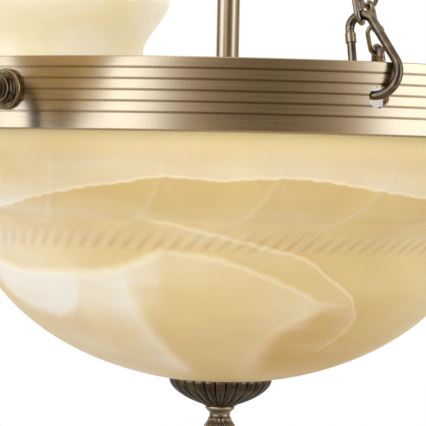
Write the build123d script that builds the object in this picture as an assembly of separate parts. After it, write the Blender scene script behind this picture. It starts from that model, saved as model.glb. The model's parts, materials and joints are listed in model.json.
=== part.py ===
from build123d import *
import math
import os

os.makedirs("parts", exist_ok=True)

# Layout: the ceiling is at height zero, angles are counted from +X
arm_angles = {"right": 0, "rear_left": 120, "front_left": 240}
chain_angles = {"rear_right": 65, "left": 180, "front_right": 300}
band_drop = 592.0  # from the ceiling down to the lower edge of the band
fit = 0.05  # radial clearance of a turning or sliding fit
gap = 0.3  # clearance between pieces that only pass each other

# Ceiling bracket, a bent strap with two slotted feet
bracket_length = 96.0
bracket_width = 24.0
bracket_thickness = 2.5
bracket_rise = 20.0  # depth of the bridge below the ceiling
bracket_foot = 22.0  # length of each foot against the ceiling
slot_inset = 10.0  # from the end of a foot to the middle of its slot
slot_length = 11.0
slot_width = 5.0
nipple_radius = 5.0
nipple_bore = 3.5
nipple_grip = 18.0  # thread that reaches into the stem
nut_flats = 16.0
nut_height = 5.0
terminal_length = 26.0
terminal_width = 16.0
terminal_height = 13.0
terminal_ways = 3
terminal_bore = 1.8
terminal_gap = 2.8  # from the corner of the bracket's nut to the block

# Canopy, a spun cup that slides on the stem
canopy_radius = 62.0
canopy_wall = 1.2
canopy_skirt = 11.0
canopy_step = 3.0
canopy_dome = 40.0
canopy_neck = 13.0
canopy_neck_height = 5.0
canopy_ceiling_gap = 0.5
collar_radius = 11.0
collar_height = 11.0
collar_groove = 1.2
collar_groove_inset = 2.2  # from each end of the collar
screw_radius = 2.0
screw_head_radius = 3.6
screw_head_height = 2.2
screw_stand = 1.0  # shank that shows between the head and the collar

# Stem and crown
stem_radius = 6.8
stem_wall = 1.4
crown_drop = 168.0  # from the ceiling down to the middle of the crown's flange
crown_radius = 24.0
crown_flange = 9.0
crown_neck = 10.5
crown_cove = 17.0
crown_cove_width = 10.2
crown_bead = 3.2
crown_bowl = 20.0
crown_foot = 11.0
eye_wire = 1.5
eye_radius = 6.0
eye_shank = 2.0
eye_shank_depth = 9.0
eye_stand = 1.6  # from the crown's flange to the ring of the eye

# Chains
chain_links = 24
link_wire = 1.5
link_width = 13.0  # over the wires
link_gap = 0.2

# Snap hooks, a pear-shaped loop with a hinged gate for its inner leg
hook_wire = 2.5
hook_low_bend = 12.5
hook_top_bend = 6.7
hook_bend_spacing = 27.0
hook_lean = 16.0  # towards the axis
hook_turn = 45.0  # out of the upright plane through the axis
hook_tilt = 11.0  # within the hook's own plane
hook_seat_gap = 2.1  # room for the bend under the upper edge of the hole
hook_seat_shift = 0.12  # outwards from the middle of the band's wall
gate_radius = 2.3
gate_hinge_rise = 3.4  # from the end of the wire up to the hinge pin
tang_thickness = 1.8
tang_radius = 2.0
pin_radius = 0.8
gate_sleeve = 2.95  # thick end of the gate, below its lap
gate_sleeve_length = 5.0
gate_sleeve_gap = 0.3
lap_length = 2.0
lap_gap = 0.15
gate_end_gap = 0.3

# Band
band_radius = 200.0
band_wall = 2.0
band_height = 39.5
band_edge = 3.0
band_groove_count = 5
band_groove_first = 9.9
band_groove_pitch = 5.9
band_groove_width = 1.5
band_groove_depth = 0.9
band_lip = 12.5
band_lip_thickness = 1.6
hole_rise = 21.5  # arm holes, from the lower edge
hook_hole_rise = 20.6
hole_radius = 5.9
rim_gasket_thickness = 1.2
rim_side_gap = 1.2

# Glass bowl
glass_wall = 5.0
rim_height = 5.0
bowl_neck_gap = 1.5
bowl_shoulder = 3.6  # plain upright wall below the band
bowl_cove = 49.0  # radius of the rounded shoulder
bowl_cove_turn = 68.2  # degrees that the shoulder rounds through
rope_step = 5.4  # from the foot of the shoulder down to the rope
rope_inset = 1.7
rope_thick = 5.5
dome_inset = 0.5
dome_rise = 17.4  # from the rope up to the dome's own centre
dome_depth = 108.0
seat_radius = 22.0
bowl_hole = 5.5

# Lamp cluster inside the bowl
hub_drop = 85.0
hub_radius = 20.0
hub_height = 17.0
hub_socket = 7.0
hub_grip = 6.0
lamp_reach = 86.0  # from the axis to each lamp in the bowl
lamp_tube = 5.0
lamp_tube_wall = 1.2
lamp_tube_bend = 14.0
lamp_tube_thread = 8.0
lamp_stand = 4.0  # from the end of the bend up to the lampholder
big_holder_radius = 19.5
big_holder_length = 44.0
big_holder_shoulder = 10.0
big_lamp_bore = 13.3
big_lamp_depth = 28.0
contact_radius = 3.5
contact_height = 1.5

# Tie rod and finial
rod_radius = 4.0
rod_grip = 6.0
washer_radius = 16.0
washer_height = 2.5
rod_nut_flats = 13.0
rod_nut_height = 6.5
dish_radius = 30.7
dish_depth = 13.3
dish_foot = 10.1
dish_foot_height = 0.6
flute_count = 28
flute_radius = 1.1
flute_inset = 0.25
flute_start = 15.0  # degrees round from the foot of the dish
knob_collar = 8.6
knob_collar_height = 2.4
knob_neck = 6.0
knob_neck_drop = 3.4
knob_collar_inset = 0.9
knob_radius = 10.8
knob_half = 13.0
knob_flutes = 12
knob_flute_radius = 1.3
knob_flute_start = 20.0  # degrees round from the tip
knob_flute_end = 140.0
knob_neck_bury = 3.5  # the neck's depth in the body
knob_tip = 3.0

# Arms, shades and their lampholders
arm_radius = 5.0
arm_wall = 1.2
arm_run = 14.0
arm_bend = 20.0
arm_loop = 33.0
arm_thread = 8.0
arm_inside = 14.0
rosette_radius = 11.0
rosette_base = 4.0
rosette_bevel = 1.2
rosette_ring = 6.3
rosette_ring_step = 1.0
rosette_height = 9.0
arm_washer_radius = 9.0
arm_washer_height = 1.5
cup_floor_rise = 2.0  # the cup's floor above the lower edge of the band
cup_floor = 2.5
cup_rim = 4.5
cup_wall = 1.6
cup_bowl = 9.0
cup_stem = 7.5
cup_stem_height = 3.0
shade_wall = 3.5
shade_neck = 21.0
shade_neck_height = 6.0
shade_waist = 62.0
shade_waist_rise = 61.4
shade_lip = 80.0
shade_lip_rise = 98.5
shade_height = 113.0
small_holder_radius = 14.0
small_holder_length = 42.0
small_lamp_bore = 7.0
small_lamp_depth = 28.0
shade_ring_height = 5.0

UP = (Align.CENTER, Align.CENTER, Align.MIN)

# Heights worked out from the drops
band_low = -band_drop
band_top = band_low + band_height
hole_height = band_low + hole_rise
hook_hole_height = band_low + hook_hole_rise
crown_height = -crown_drop
rim_low = band_low + band_lip_thickness + rim_gasket_thickness
rim_top = rim_low + rim_height
cove_height = band_low - bowl_shoulder
shoulder_low = cove_height - bowl_cove * math.sin(math.radians(bowl_cove_turn))
rope_height = shoulder_low - rope_step
dome_centre = rope_height + dome_rise
bowl_bottom = dome_centre - dome_depth
hub_top = band_low - hub_drop
hub_low = hub_top - hub_height
cup_floor_height = band_low + cup_floor_rise
cup_low = cup_floor_height - cup_floor
cup_foot = cup_low - cup_bowl - cup_stem_height
dish_foot_low = bowl_bottom - dish_depth
knob_top = dish_foot_low - dish_foot_height
knob_neck_low = knob_top - knob_collar_height - 2 * knob_neck_drop
knob_centre = knob_neck_low + knob_neck_bury - knob_half
knob_low = knob_centre - knob_half


def at(radius, height):
    """A point of the upright plane through the axis."""
    return (radius, 0, height)


def rod(radius, low, high):
    return Pos(0, 0, low) * Cylinder(radius, high - low, align=UP)


def tube(inner, outer, low, high):
    return rod(outer, low, high) - rod(inner, low, high)


def turned(*edges):
    """A solid of revolution from the closed outline of its half section."""
    return revolve(make_face(Curve() + list(edges)), Axis.Z)


def turned_polygon(*points):
    return revolve(make_face(Polyline(*[at(*point) for point in points], close=True)), Axis.Z)


def round_arc(centre_radius, centre_height, radius, start, end):
    """An arc of the half section, between two angles in degrees."""
    points = []
    for angle in (start, (start + end) / 2, end):
        turn = math.radians(angle)
        points.append(at(centre_radius + radius * math.cos(turn), centre_height + radius * math.sin(turn)))
    return ThreePointArc(*points)


def oval_arc(centre_radius, centre_height, half_width, half_height, start, end):
    return Plane.XZ * EllipticalCenterArc(
        (centre_radius, centre_height), half_width, half_height, start, arc_size=end - start
    )


def open_chain(*points):
    """Straight edges of a half section from point to point."""
    return Polyline(*[at(*point) for point in points])


def hex_nut(flats, bore, low, height):
    prism = extrude(RegularPolygon(flats / 2, 6, major_radius=False), height)
    return Pos(0, 0, low) * prism - rod(bore, low, low + height)


def facing_out(shape):
    """Turns a shape modelled along +Z so that it points along +X."""
    return Rot(0, 90, 0) * shape


def around(shape, angle):
    return Rot(0, 0, angle) * shape


def group(shapes):
    return Compound(children=list(shapes))


pieces = {}


# Ceiling bracket
bridge_low = -bracket_rise - bracket_thickness
bridge_half = bracket_length / 2 - bracket_foot
slot_reach = bracket_length / 2 - slot_inset
strap_outline = Polyline(
    at(-bracket_length / 2, 0),
    at(-bridge_half + bracket_thickness, 0),
    at(-bridge_half + bracket_thickness, -bracket_rise),
    at(bridge_half - bracket_thickness, -bracket_rise),
    at(bridge_half - bracket_thickness, 0),
    at(bracket_length / 2, 0),
    at(bracket_length / 2, -bracket_thickness),
    at(bridge_half, -bracket_thickness),
    at(bridge_half, bridge_low),
    at(-bridge_half, bridge_low),
    at(-bridge_half, -bracket_thickness),
    at(-bracket_length / 2, -bracket_thickness),
    close=True,
)
strap = extrude(make_face(strap_outline), bracket_width / 2, both=True)
slot = extrude(SlotOverall(slot_length, slot_width), bracket_thickness, both=True)
for side in (-1, 1):
    strap -= Pos(side * slot_reach, 0, 0) * slot
strap -= rod(nipple_radius + fit, bridge_low, 0)
pieces["ceiling_bracket"] = strap

# Nipple, nuts and stem
lock_nut_low = bridge_low - nut_height
stem_top = lock_nut_low
nipple_top = -bracket_rise + nut_height + fit
pieces["bracket_nipple"] = tube(nipple_bore, nipple_radius, stem_top - nipple_grip, nipple_top)
pieces["bracket_nuts"] = group(
    hex_nut(nut_flats, nipple_radius + fit, low, nut_height) for low in (-bracket_rise, lock_nut_low)
)
stem_low = hub_top - hub_socket
pieces["stem_tube"] = tube(stem_radius - stem_wall, stem_radius, stem_low, stem_top)

# Terminal block under the bridge
block_low = bridge_low - terminal_height
block_start = nut_flats / math.sqrt(3) + terminal_gap
block_middle = block_start + terminal_length / 2
block = Pos(block_middle, 0, block_low) * Box(terminal_length, terminal_width, terminal_height, align=UP)
way_pitch = terminal_length / terminal_ways
for way in range(terminal_ways):
    way_x = block_start + way_pitch * (way + 1 / 2)
    wire_way = Pos(way_x, 0, block_low + terminal_height / 2) * Rot(90, 0, 0)
    block -= wire_way * Cylinder(terminal_bore, terminal_width)
    block -= Pos(way_x, 0, block_low) * Cylinder(terminal_bore, terminal_height / 2, align=UP)
pieces["terminal_block"] = block

# Canopy and the collar that holds it up
canopy_top = -canopy_ceiling_gap
skirt_low = canopy_top - canopy_skirt
canopy_dome_low = skirt_low - canopy_dome
canopy_low = canopy_dome_low - canopy_neck_height


def canopy_body(inset, top):
    """The canopy's form, drawn in by a wall when it is the hollow."""
    dome_width = canopy_radius - canopy_step - canopy_neck - inset
    floor = canopy_dome_low + inset
    return turned(
        open_chain(
            (0, floor),
            (0, top),
            (canopy_radius - inset, top),
            (canopy_radius - inset, skirt_low + inset),
            (canopy_radius - canopy_step - inset, skirt_low + inset),
        ),
        oval_arc(canopy_neck, skirt_low + inset, dome_width, canopy_dome, 270, 360),
        open_chain((canopy_neck, floor), (0, floor)),
    )


canopy = canopy_body(0, canopy_top) + rod(canopy_neck, canopy_low, canopy_dome_low + canopy_wall)
canopy -= canopy_body(canopy_wall, canopy_top)
canopy -= rod(stem_radius + gap, canopy_low, canopy_top)
pieces["canopy"] = canopy
collar_low = canopy_low - collar_height
collar = tube(stem_radius + fit, collar_radius, collar_low, canopy_low)
for groove_height in (collar_low + collar_groove_inset, canopy_low - collar_groove_inset):
    collar -= Pos(0, 0, groove_height) * Torus(collar_radius, collar_groove / 2)
screw_height = collar_low + collar_height / 2
screw_seat = Pos(0, 0, screw_height)
collar -= screw_seat * facing_out(rod(screw_radius, 0, collar_radius + screw_stand))
pieces["canopy_collar"] = collar
screw_end = collar_radius + screw_stand
set_screw = facing_out(rod(screw_radius, stem_radius + fit, screw_end))
set_screw += facing_out(rod(screw_head_radius, screw_end, screw_end + screw_head_height))
pieces["collar_set_screw"] = screw_seat * set_screw

# Crown: a flange with a cove above it and a bowl below it
flange_top = crown_height + crown_flange / 2
flange_low = crown_height - crown_flange / 2
cove_top = flange_top + crown_cove
crown = turned(
    open_chain((0, flange_low), (crown_radius, flange_low), (crown_radius, flange_top)),
    open_chain((crown_radius, flange_top), (crown_neck + crown_cove_width, flange_top)),
    oval_arc(crown_neck + crown_cove_width, cove_top, crown_cove_width, crown_cove, 180, 270),
    open_chain((crown_neck, cove_top), (0, cove_top), (0, flange_low)),
)
crown += Pos(0, 0, cove_top) * Torus(crown_neck, crown_bead)
crown += turned(
    open_chain((0, flange_low - crown_bowl), (0, flange_low), (crown_radius - crown_bead, flange_low)),
    oval_arc(crown_foot, flange_low, crown_radius - crown_bead - crown_foot, crown_bowl, 270, 360),
    open_chain((crown_foot, flange_low - crown_bowl), (0, flange_low - crown_bowl)),
)
crown += Pos(0, 0, flange_low - crown_bowl) * Torus(crown_foot - crown_bead, crown_bead)
crown_reach = crown_cove + crown_bead + crown_bowl + crown_flange
crown -= rod(stem_radius + fit, crown_height - crown_reach, crown_height + crown_reach)
eye_reach = crown_radius + eye_stand + eye_wire + eye_radius
shank_start = crown_radius - eye_shank_depth
shank_seat = Pos(0, 0, crown_height)
for angle in chain_angles.values():
    crown -= around(shank_seat * facing_out(rod(eye_shank + fit, shank_start, crown_radius)), angle)
pieces["crown"] = crown
eye = Pos(eye_reach, 0, crown_height) * Rot(90, 0, 0) * Torus(eye_radius, eye_wire)
eye += shank_seat * facing_out(rod(eye_shank, shank_start, eye_reach - eye_radius))
pieces["crown_eyes"] = group(around(eye, angle) for angle in chain_angles.values())

# Snap hook, modelled in its own plane with its lowest bend at the origin and the gate at +X
lean = math.radians(hook_lean)
turn = math.radians(hook_turn)
hook_up = Vector(-math.sin(lean), 0, math.cos(lean))
hook_out = Vector(math.cos(lean), 0, math.sin(lean))
hook_across = Vector(0, 1, 0) * math.cos(turn) + hook_out * math.sin(turn)
hook_seat_height = hook_hole_height + hole_radius - hook_wire / math.cos(lean) - hook_seat_gap
hook_seat = Vector(band_radius - band_wall / 2 + hook_seat_shift, 0, hook_seat_height)
tilt = math.radians(hook_tilt)
hook_axis = hook_up * math.cos(tilt) - hook_across * math.sin(tilt)
gate_side = -(hook_across * math.cos(tilt) + hook_up * math.sin(tilt))
hook_origin = hook_seat + (hook_up - hook_axis) * hook_low_bend
hook_place = Plane(hook_origin, x_dir=gate_side, z_dir=hook_axis)

low_centre = hook_low_bend
top_centre = hook_low_bend + hook_bend_spacing
taper = math.asin((hook_low_bend - hook_top_bend) / hook_bend_spacing)
taper_angle = math.degrees(taper)
leg_length = hook_bend_spacing * math.cos(taper)
leg_foot = Vector(hook_low_bend * math.cos(taper), 0, low_centre + hook_low_bend * math.sin(taper))
leg_up = Vector(-math.sin(taper), 0, math.cos(taper))
leg_head = leg_foot + leg_up * leg_length
leg_place = Plane(leg_foot, x_dir=(math.cos(taper), 0, math.sin(taper)), z_dir=leg_up)
outer_foot = Vector(-leg_foot.X, 0, leg_foot.Z)
outer_head = Vector(-leg_head.X, 0, leg_head.Z)
hook_path = Curve() + [
    round_arc(0, low_centre, hook_low_bend, taper_angle, -180 - taper_angle),
    Line(outer_foot, outer_head),
    round_arc(0, top_centre, hook_top_bend, 180 - taper_angle, taper_angle),
]
hook_section = Plane(leg_foot, z_dir=-leg_up) * Circle(hook_wire)
hook_wire_body = sweep(hook_section, path=hook_path)
tang = Pos(0, 0, -hook_wire) * Box(
    2 * tang_radius, tang_thickness, gate_hinge_rise + hook_wire, align=UP
)
tang += Pos(0, 0, gate_hinge_rise) * Rot(90, 0, 0) * Cylinder(tang_radius, tang_thickness)
tang -= Pos(0, 0, gate_hinge_rise) * Rot(90, 0, 0) * Cylinder(pin_radius, tang_thickness)
outer_half = Pos(lap_gap, 0, 0) * Box(
    2 * hook_wire, 2 * hook_wire, 2 * leg_length, align=(Align.MIN, Align.CENTER, Align.MIN)
)
lap = rod(hook_wire, leg_length - lap_length, leg_length) & outer_half
hook_body = hook_wire_body + leg_place.location * tang + leg_place.location * lap

# Gate: a round bar forked over the tang and half-lapped at the nose
gate_top = leg_length - gate_end_gap
gate = rod(gate_radius, gate_hinge_rise, gate_top) + Pos(0, 0, gate_hinge_rise) * Sphere(gate_radius)
sleeve_top = leg_length - lap_length - gate_end_gap - gate_sleeve_gap
gate += rod(gate_sleeve, sleeve_top - gate_sleeve_length, sleeve_top)
fork_slot = tang_thickness + 2 * lap_gap
gate -= Pos(0, 0, gate_hinge_rise) * Box(2 * gate_radius, fork_slot, 2 * (tang_radius + gap + gate_end_gap))
gate -= Pos(0, 0, gate_hinge_rise) * Rot(90, 0, 0) * Cylinder(pin_radius + fit, 2 * gate_radius)
lap_cut = Pos(-lap_gap, 0, leg_length - lap_length - gate_end_gap)
gate -= lap_cut * Box(
    2 * hook_wire, 2 * hook_wire, leg_length, align=(Align.MIN, Align.CENTER, Align.MIN)
)
gate = leg_place.location * gate
pin_length = 2 * math.sqrt(gate_radius**2 - pin_radius**2)
pin = leg_place.location * Pos(0, 0, gate_hinge_rise) * Rot(90, 0, 0) * Cylinder(pin_radius, pin_length)

# Chain from the hook's top bend to the crown's eye
eye_centre = Vector(eye_reach, 0, crown_height)
hook_top = hook_place.from_local_coords(Vector(0, 0, top_centre))
pull = (eye_centre - hook_top).normalized()
bend_turn = math.atan2(pull.dot(hook_place.x_dir), pull.dot(hook_place.z_dir))
bend_point = Vector(math.sin(bend_turn), 0, math.cos(bend_turn)) * hook_top_bend
chain_start = hook_place.from_local_coords(Vector(0, 0, top_centre) + bend_point)
eye_pull = (chain_start - eye_centre).normalized()
chain_end = eye_centre + Vector(eye_pull.X, 0, eye_pull.Z).normalized() * eye_radius
chain_line = chain_end - chain_start
chain_up = chain_line.normalized()
end_allowance = hook_wire + 2 * link_wire + eye_wire + 2 * link_gap
overlap_allowance = (chain_links - 1) * (2 * link_wire + link_gap)
link_spacing = (chain_line.length + end_allowance + overlap_allowance) / chain_links
link_pitch = link_spacing - 2 * link_wire - link_gap
first_low = -(hook_wire + link_wire + link_gap)


def square_to_chain(direction):
    """The part of a direction that is square to the chain."""
    return (direction - chain_up * direction.dot(chain_up)).normalized()


bend_along = Vector(math.cos(bend_turn), 0, -math.sin(bend_turn))
hook_along = hook_place.from_local_coords(bend_along) - hook_place.origin
first_face = square_to_chain(hook_along)
side_face = chain_up.cross(first_face)
last_face = square_to_chain(Vector(1, 0, 0))
last_angle = math.degrees(math.atan2(last_face.dot(side_face), last_face.dot(first_face)))
spare_twist = (last_angle - 90 * (chain_links - 1) + 90) % 180 - 90
link_turn = 90 + spare_twist / (chain_links - 1)
link_bend = link_width / 2 - link_wire
link_straight = link_spacing - 2 * link_bend
link_bend_half = Rot(90, 0, 0) * Torus(link_bend, link_wire, major_angle=180, align=None)
link = Pos(0, 0, link_straight / 2) * link_bend_half
link += Pos(0, 0, -link_straight / 2) * Rot(0, 180, 0) * link_bend_half
for side in (-1, 1):
    link += Pos(side * link_bend, 0, 0) * Cylinder(link_wire, link_straight)


def chain_link(index):
    """One link, in its place along the chain and turned against its neighbour."""
    face_turn = math.radians(index * link_turn)
    face = first_face * math.cos(face_turn) + side_face * math.sin(face_turn)
    middle = chain_start + chain_up * (first_low + index * link_pitch + link_spacing / 2)
    return Plane(middle, x_dir=face.cross(chain_up), z_dir=chain_up).location * link


chain = [chain_link(index) for index in range(chain_links)]
for place, angle in chain_angles.items():
    pieces["chain_" + place] = group(around(one_link, angle) for one_link in chain)
    pieces["hook_body_" + place] = around(hook_place.location * hook_body, angle)
    pieces["hook_gate_" + place] = around(hook_place.location * gate, angle)
pieces["gate_pins"] = group(around(hook_place.location * pin, angle) for angle in chain_angles.values())

# Band with turned grooves and an inner lip for the glass
lip_inner = band_radius - band_lip
band_inner = band_radius - band_wall
band_face = [(band_radius, band_low + band_edge)]
for groove in range(band_groove_count):
    middle = band_low + band_groove_first + groove * band_groove_pitch
    band_face.append((band_radius, middle - band_groove_width / 2))
    band_face.append((band_radius - band_groove_depth, middle))
    band_face.append((band_radius, middle + band_groove_width / 2))
band = turned(
    round_arc(band_radius - band_edge, band_low + band_edge, band_edge, 270, 360),
    open_chain(
        *band_face,
        (band_radius, band_top),
        (band_inner, band_top),
        (band_inner, band_low + band_lip_thickness),
        (lip_inner, band_low + band_lip_thickness),
        (lip_inner, band_low),
        (band_radius - band_edge, band_low),
    ),
)
band_hole = Pos(0, 0, hook_hole_height) * facing_out(rod(hole_radius, lip_inner, band_radius + band_wall))
arm_hole = Pos(0, 0, hole_height) * facing_out(rod(arm_radius + fit, lip_inner, band_radius + band_wall))
for angle in chain_angles.values():
    band -= around(band_hole, angle)
for angle in arm_angles.values():
    band -= around(arm_hole, angle)
pieces["band"] = band
rim_radius = band_inner - rim_side_gap
pieces["rim_gasket"] = tube(lip_inner, rim_radius, band_low + band_lip_thickness, rim_low)

# Glass bowl: rim, rounded shoulder, rope ring and dome
bowl_neck = lip_inner - bowl_neck_gap
cove_centre = bowl_neck - bowl_cove
shoulder_end = cove_centre + bowl_cove * math.cos(math.radians(bowl_cove_turn))
rope_radius = shoulder_end - rope_inset
dome_radius = rope_radius - dome_inset


def shoulder_body(inset, top, end):
    """The shoulder above the rope ring, drawn in by the glass wall for the hollow."""
    arc = round_arc(cove_centre, cove_height, bowl_cove - inset, end, 0)
    start = arc @ 0
    return turned(
        arc,
        open_chain((bowl_neck - inset, cove_height), (bowl_neck - inset, top), (0, top)),
        open_chain((0, top), (0, start.Z), (start.X, start.Z)),
    )


def dome_body(inset, top):
    """The dome below the rope ring, drawn in by the glass wall for the hollow."""
    top_angle = math.degrees(math.asin((top - dome_centre) / (dome_depth - inset)))
    arc = oval_arc(0, dome_centre, dome_radius - inset, dome_depth - inset, 270, 360 + top_angle)
    end = arc @ 1
    return turned(arc, open_chain((end.X, top), (0, top), (0, dome_centre - dome_depth + inset)))


hollow_drop = cove_height - shoulder_low - glass_wall
hollow_end = -math.degrees(math.asin(hollow_drop / (bowl_cove - glass_wall)))
waist_radius = dome_radius * math.sqrt(1 - ((dome_centre - rope_height) / dome_depth) ** 2)
bowl = shoulder_body(0, rim_top, -bowl_cove_turn) + dome_body(0, rope_height)
bowl += rod(waist_radius, rope_height, shoulder_low)
bowl += rod(rim_radius, rim_low, rim_top)
bowl += Pos(0, 0, rope_height) * Torus(rope_radius, rope_thick)
bowl += rod(seat_radius, bowl_bottom, bowl_bottom + glass_wall)
bowl -= shoulder_body(glass_wall, rim_top, hollow_end)
bowl -= dome_body(glass_wall, shoulder_low + glass_wall)
bowl -= rod(washer_radius + gap, bowl_bottom + glass_wall, bowl_bottom + 2 * glass_wall)
bowl -= rod(bowl_hole, bowl_bottom, bowl_bottom + 2 * glass_wall)
pieces["glass_bowl"] = bowl

# Lamp hub and the three bent tubes that carry the lampholders
hub = rod(hub_radius, hub_low, hub_top)
hub -= rod(stem_radius + fit, stem_low, hub_top)
hub -= rod(rod_radius + fit, hub_low, stem_low)
tube_height = (hub_low + hub_top) / 2
tube_seat = Pos(0, 0, tube_height)
tube_start = hub_radius - hub_grip
for angle in arm_angles.values():
    hub -= around(tube_seat * facing_out(rod(lamp_tube + fit, tube_start, hub_radius)), angle)
pieces["lamp_hub"] = hub
holder_low = tube_height + lamp_tube_bend + lamp_stand
tube_end = holder_low + lamp_tube_thread
bend_start = lamp_reach - lamp_tube_bend
lamp_tube_path = Curve() + [
    Line(at(tube_start, tube_height), at(bend_start, tube_height)),
    round_arc(bend_start, tube_height + lamp_tube_bend, lamp_tube_bend, 270, 360),
    Line(at(lamp_reach, tube_height + lamp_tube_bend), at(lamp_reach, tube_end)),
]
lamp_tube_ring = Circle(lamp_tube) - Circle(lamp_tube - lamp_tube_wall)
lamp_tube_section = Plane(at(tube_start, tube_height), x_dir=(0, 1, 0), z_dir=(1, 0, 0)) * lamp_tube_ring
bent_tube = sweep(lamp_tube_section, path=lamp_tube_path)
pieces["lamp_tubes"] = group(around(bent_tube, angle) for angle in arm_angles.values())


def lampholder(radius, length, bore, depth, shoulder):
    """A lampholder standing on height zero, with its socket open at the top."""
    body = rod(radius, shoulder, length)
    if shoulder:
        body += Cone(radius - shoulder / 2, radius, shoulder, align=UP)
    body -= rod(contact_radius + fit, length - depth - contact_height, length - depth)
    return body - rod(bore, length - depth, length)


def contact(length, depth):
    """The centre contact, let into the floor of the socket."""
    return rod(contact_radius, length - depth - contact_height, length - depth)


big_holder_place = Pos(lamp_reach, 0, holder_low)
big_holder = lampholder(
    big_holder_radius, big_holder_length, big_lamp_bore, big_lamp_depth, big_holder_shoulder
)
big_holder -= rod(lamp_tube + fit, 0, lamp_tube_thread)
big_contact = contact(big_holder_length, big_lamp_depth)
for place, angle in arm_angles.items():
    pieces["bowl_lampholder_" + place] = around(big_holder_place * big_holder, angle)
pieces["bowl_lamp_contacts"] = group(
    around(big_holder_place * big_contact, angle) for angle in arm_angles.values()
)

# Tie rod with the washer and nut that clamp the glass
washer_low = bowl_bottom + glass_wall
rod_nut_low = washer_low + washer_height
knob_thread = knob_centre
pieces["bowl_rod"] = rod(rod_radius, knob_thread, stem_low)
pieces["bowl_washer"] = tube(rod_radius + fit, washer_radius, washer_low, rod_nut_low)
pieces["bowl_nut"] = hex_nut(rod_nut_flats, rod_radius + fit, rod_nut_low, rod_nut_height)

# Finial dish: a cast bowl with gadroons between meridian flutes
dish_rim = dome_centre - dome_depth * math.sqrt(1 - (dish_radius / dome_radius) ** 2)
dish_drop = dish_rim - dish_foot_low
dish_width = dish_radius - dish_foot
dish = turned(
    oval_arc(dish_foot, dish_rim, dish_width, dish_drop, 270, 360),
    open_chain((dish_radius, dish_rim), (0, dish_rim), (0, dish_foot_low), (dish_foot, dish_foot_low)),
)
dish += rod(dish_foot, knob_top, dish_foot_low)
flute_path = oval_arc(dish_foot, dish_rim, dish_width + flute_inset, dish_drop + flute_inset, 270 + flute_start, 360)
flute = sweep(Plane(flute_path @ 0, z_dir=flute_path % 0) * Circle(flute_radius), path=flute_path)
flutes = [around(flute, 360 * index / flute_count) for index in range(flute_count)]
dish -= flutes
glass_clearance = turned(
    oval_arc(0, dome_centre, dome_radius + gap, dome_depth + gap, 270, 360),
    open_chain((dome_radius + gap, dome_centre), (0, dome_centre), (0, bowl_bottom - gap)),
)
dish -= glass_clearance - rod(seat_radius, bowl_bottom - 2 * gap, bowl_bottom)
dish -= rod(seat_radius + gap, bowl_bottom, dome_centre)
dish -= rod(rod_radius + fit, knob_top, bowl_bottom)
pieces["finial_dish"] = dish

# Finial knob: collar, drawn-in neck, fluted body and tip
collar_foot = knob_top - knob_collar_height
knob = rod(knob_collar, collar_foot, knob_top)
knob += turned(
    open_chain((0, collar_foot), (knob_collar - knob_collar_inset, collar_foot)),
    ThreePointArc(
        at(knob_collar - knob_collar_inset, collar_foot),
        at(knob_neck, collar_foot - knob_neck_drop),
        at(knob_collar, knob_neck_low),
    ),
    open_chain((knob_collar, knob_neck_low), (0, knob_neck_low), (0, collar_foot)),
)
knob += turned(
    oval_arc(0, knob_centre, knob_radius, knob_half, 270, 450),
    open_chain((0, knob_centre + knob_half), (0, knob_low)),
)
flute_from = 270 + knob_flute_start
flute_to = 270 + knob_flute_end
flute_width = knob_radius + knob_flute_radius / 2
knob_path = oval_arc(0, knob_centre, flute_width, knob_half, flute_from, flute_to)
knob_flute = sweep(
    Plane(knob_path @ 0, z_dir=knob_path % 0) * Circle(knob_flute_radius), path=knob_path
)
knob -= [around(knob_flute, 360 * index / knob_flutes) for index in range(knob_flutes)]
knob += Pos(0, 0, knob_low) * Sphere(knob_tip)
knob -= rod(rod_radius + fit, knob_thread, knob_top)
pieces["finial_knob"] = knob

# Arm: out of the band, down, round and up into the cup
arm_start = band_inner - arm_inside
arm_out = band_radius + arm_run
loop_left = arm_out + arm_bend
loop_height = cup_foot
loop_centre = loop_left + arm_loop
arm_reach = loop_centre + arm_loop
arm_end = cup_floor_height + arm_thread
arm_path = Curve() + [
    Line(at(arm_start, hole_height), at(arm_out, hole_height)),
    round_arc(arm_out, hole_height - arm_bend, arm_bend, 90, 0),
    Line(at(loop_left, hole_height - arm_bend), at(loop_left, loop_height)),
    round_arc(loop_centre, loop_height, arm_loop, 180, 360),
    Line(at(arm_reach, loop_height), at(arm_reach, arm_end)),
]
arm_ring = Circle(arm_radius) - Circle(arm_radius - arm_wall)
arm_section = Plane(at(arm_start, hole_height), x_dir=(0, 1, 0), z_dir=(1, 0, 0)) * arm_ring
arm = sweep(arm_section, path=arm_path)

# Rosette against the band, and the washer and nut inside it
base_face = band_radius + rosette_base
rosette = turned_polygon(
    (arm_radius + fit, band_inner),
    (rosette_radius, band_inner),
    (rosette_radius, base_face - rosette_bevel),
    (rosette_radius - rosette_bevel, base_face),
    (rosette_ring + rosette_ring_step, base_face),
    (rosette_ring, base_face + rosette_ring_step),
    (rosette_ring, band_radius + rosette_height),
    (arm_radius + fit, band_radius + rosette_height),
)
rosette = Pos(0, 0, hole_height) * facing_out(rosette)
rosette -= rod(band_radius + fit, band_low, band_top)
washer_face = math.sqrt(band_inner**2 - arm_washer_radius**2) - fit
arm_washer = tube(
    arm_radius + fit, arm_washer_radius, washer_face - arm_washer_height, washer_face
)
arm_nut = hex_nut(nut_flats, arm_radius + fit, washer_face - arm_washer_height - nut_height, nut_height)

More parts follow.
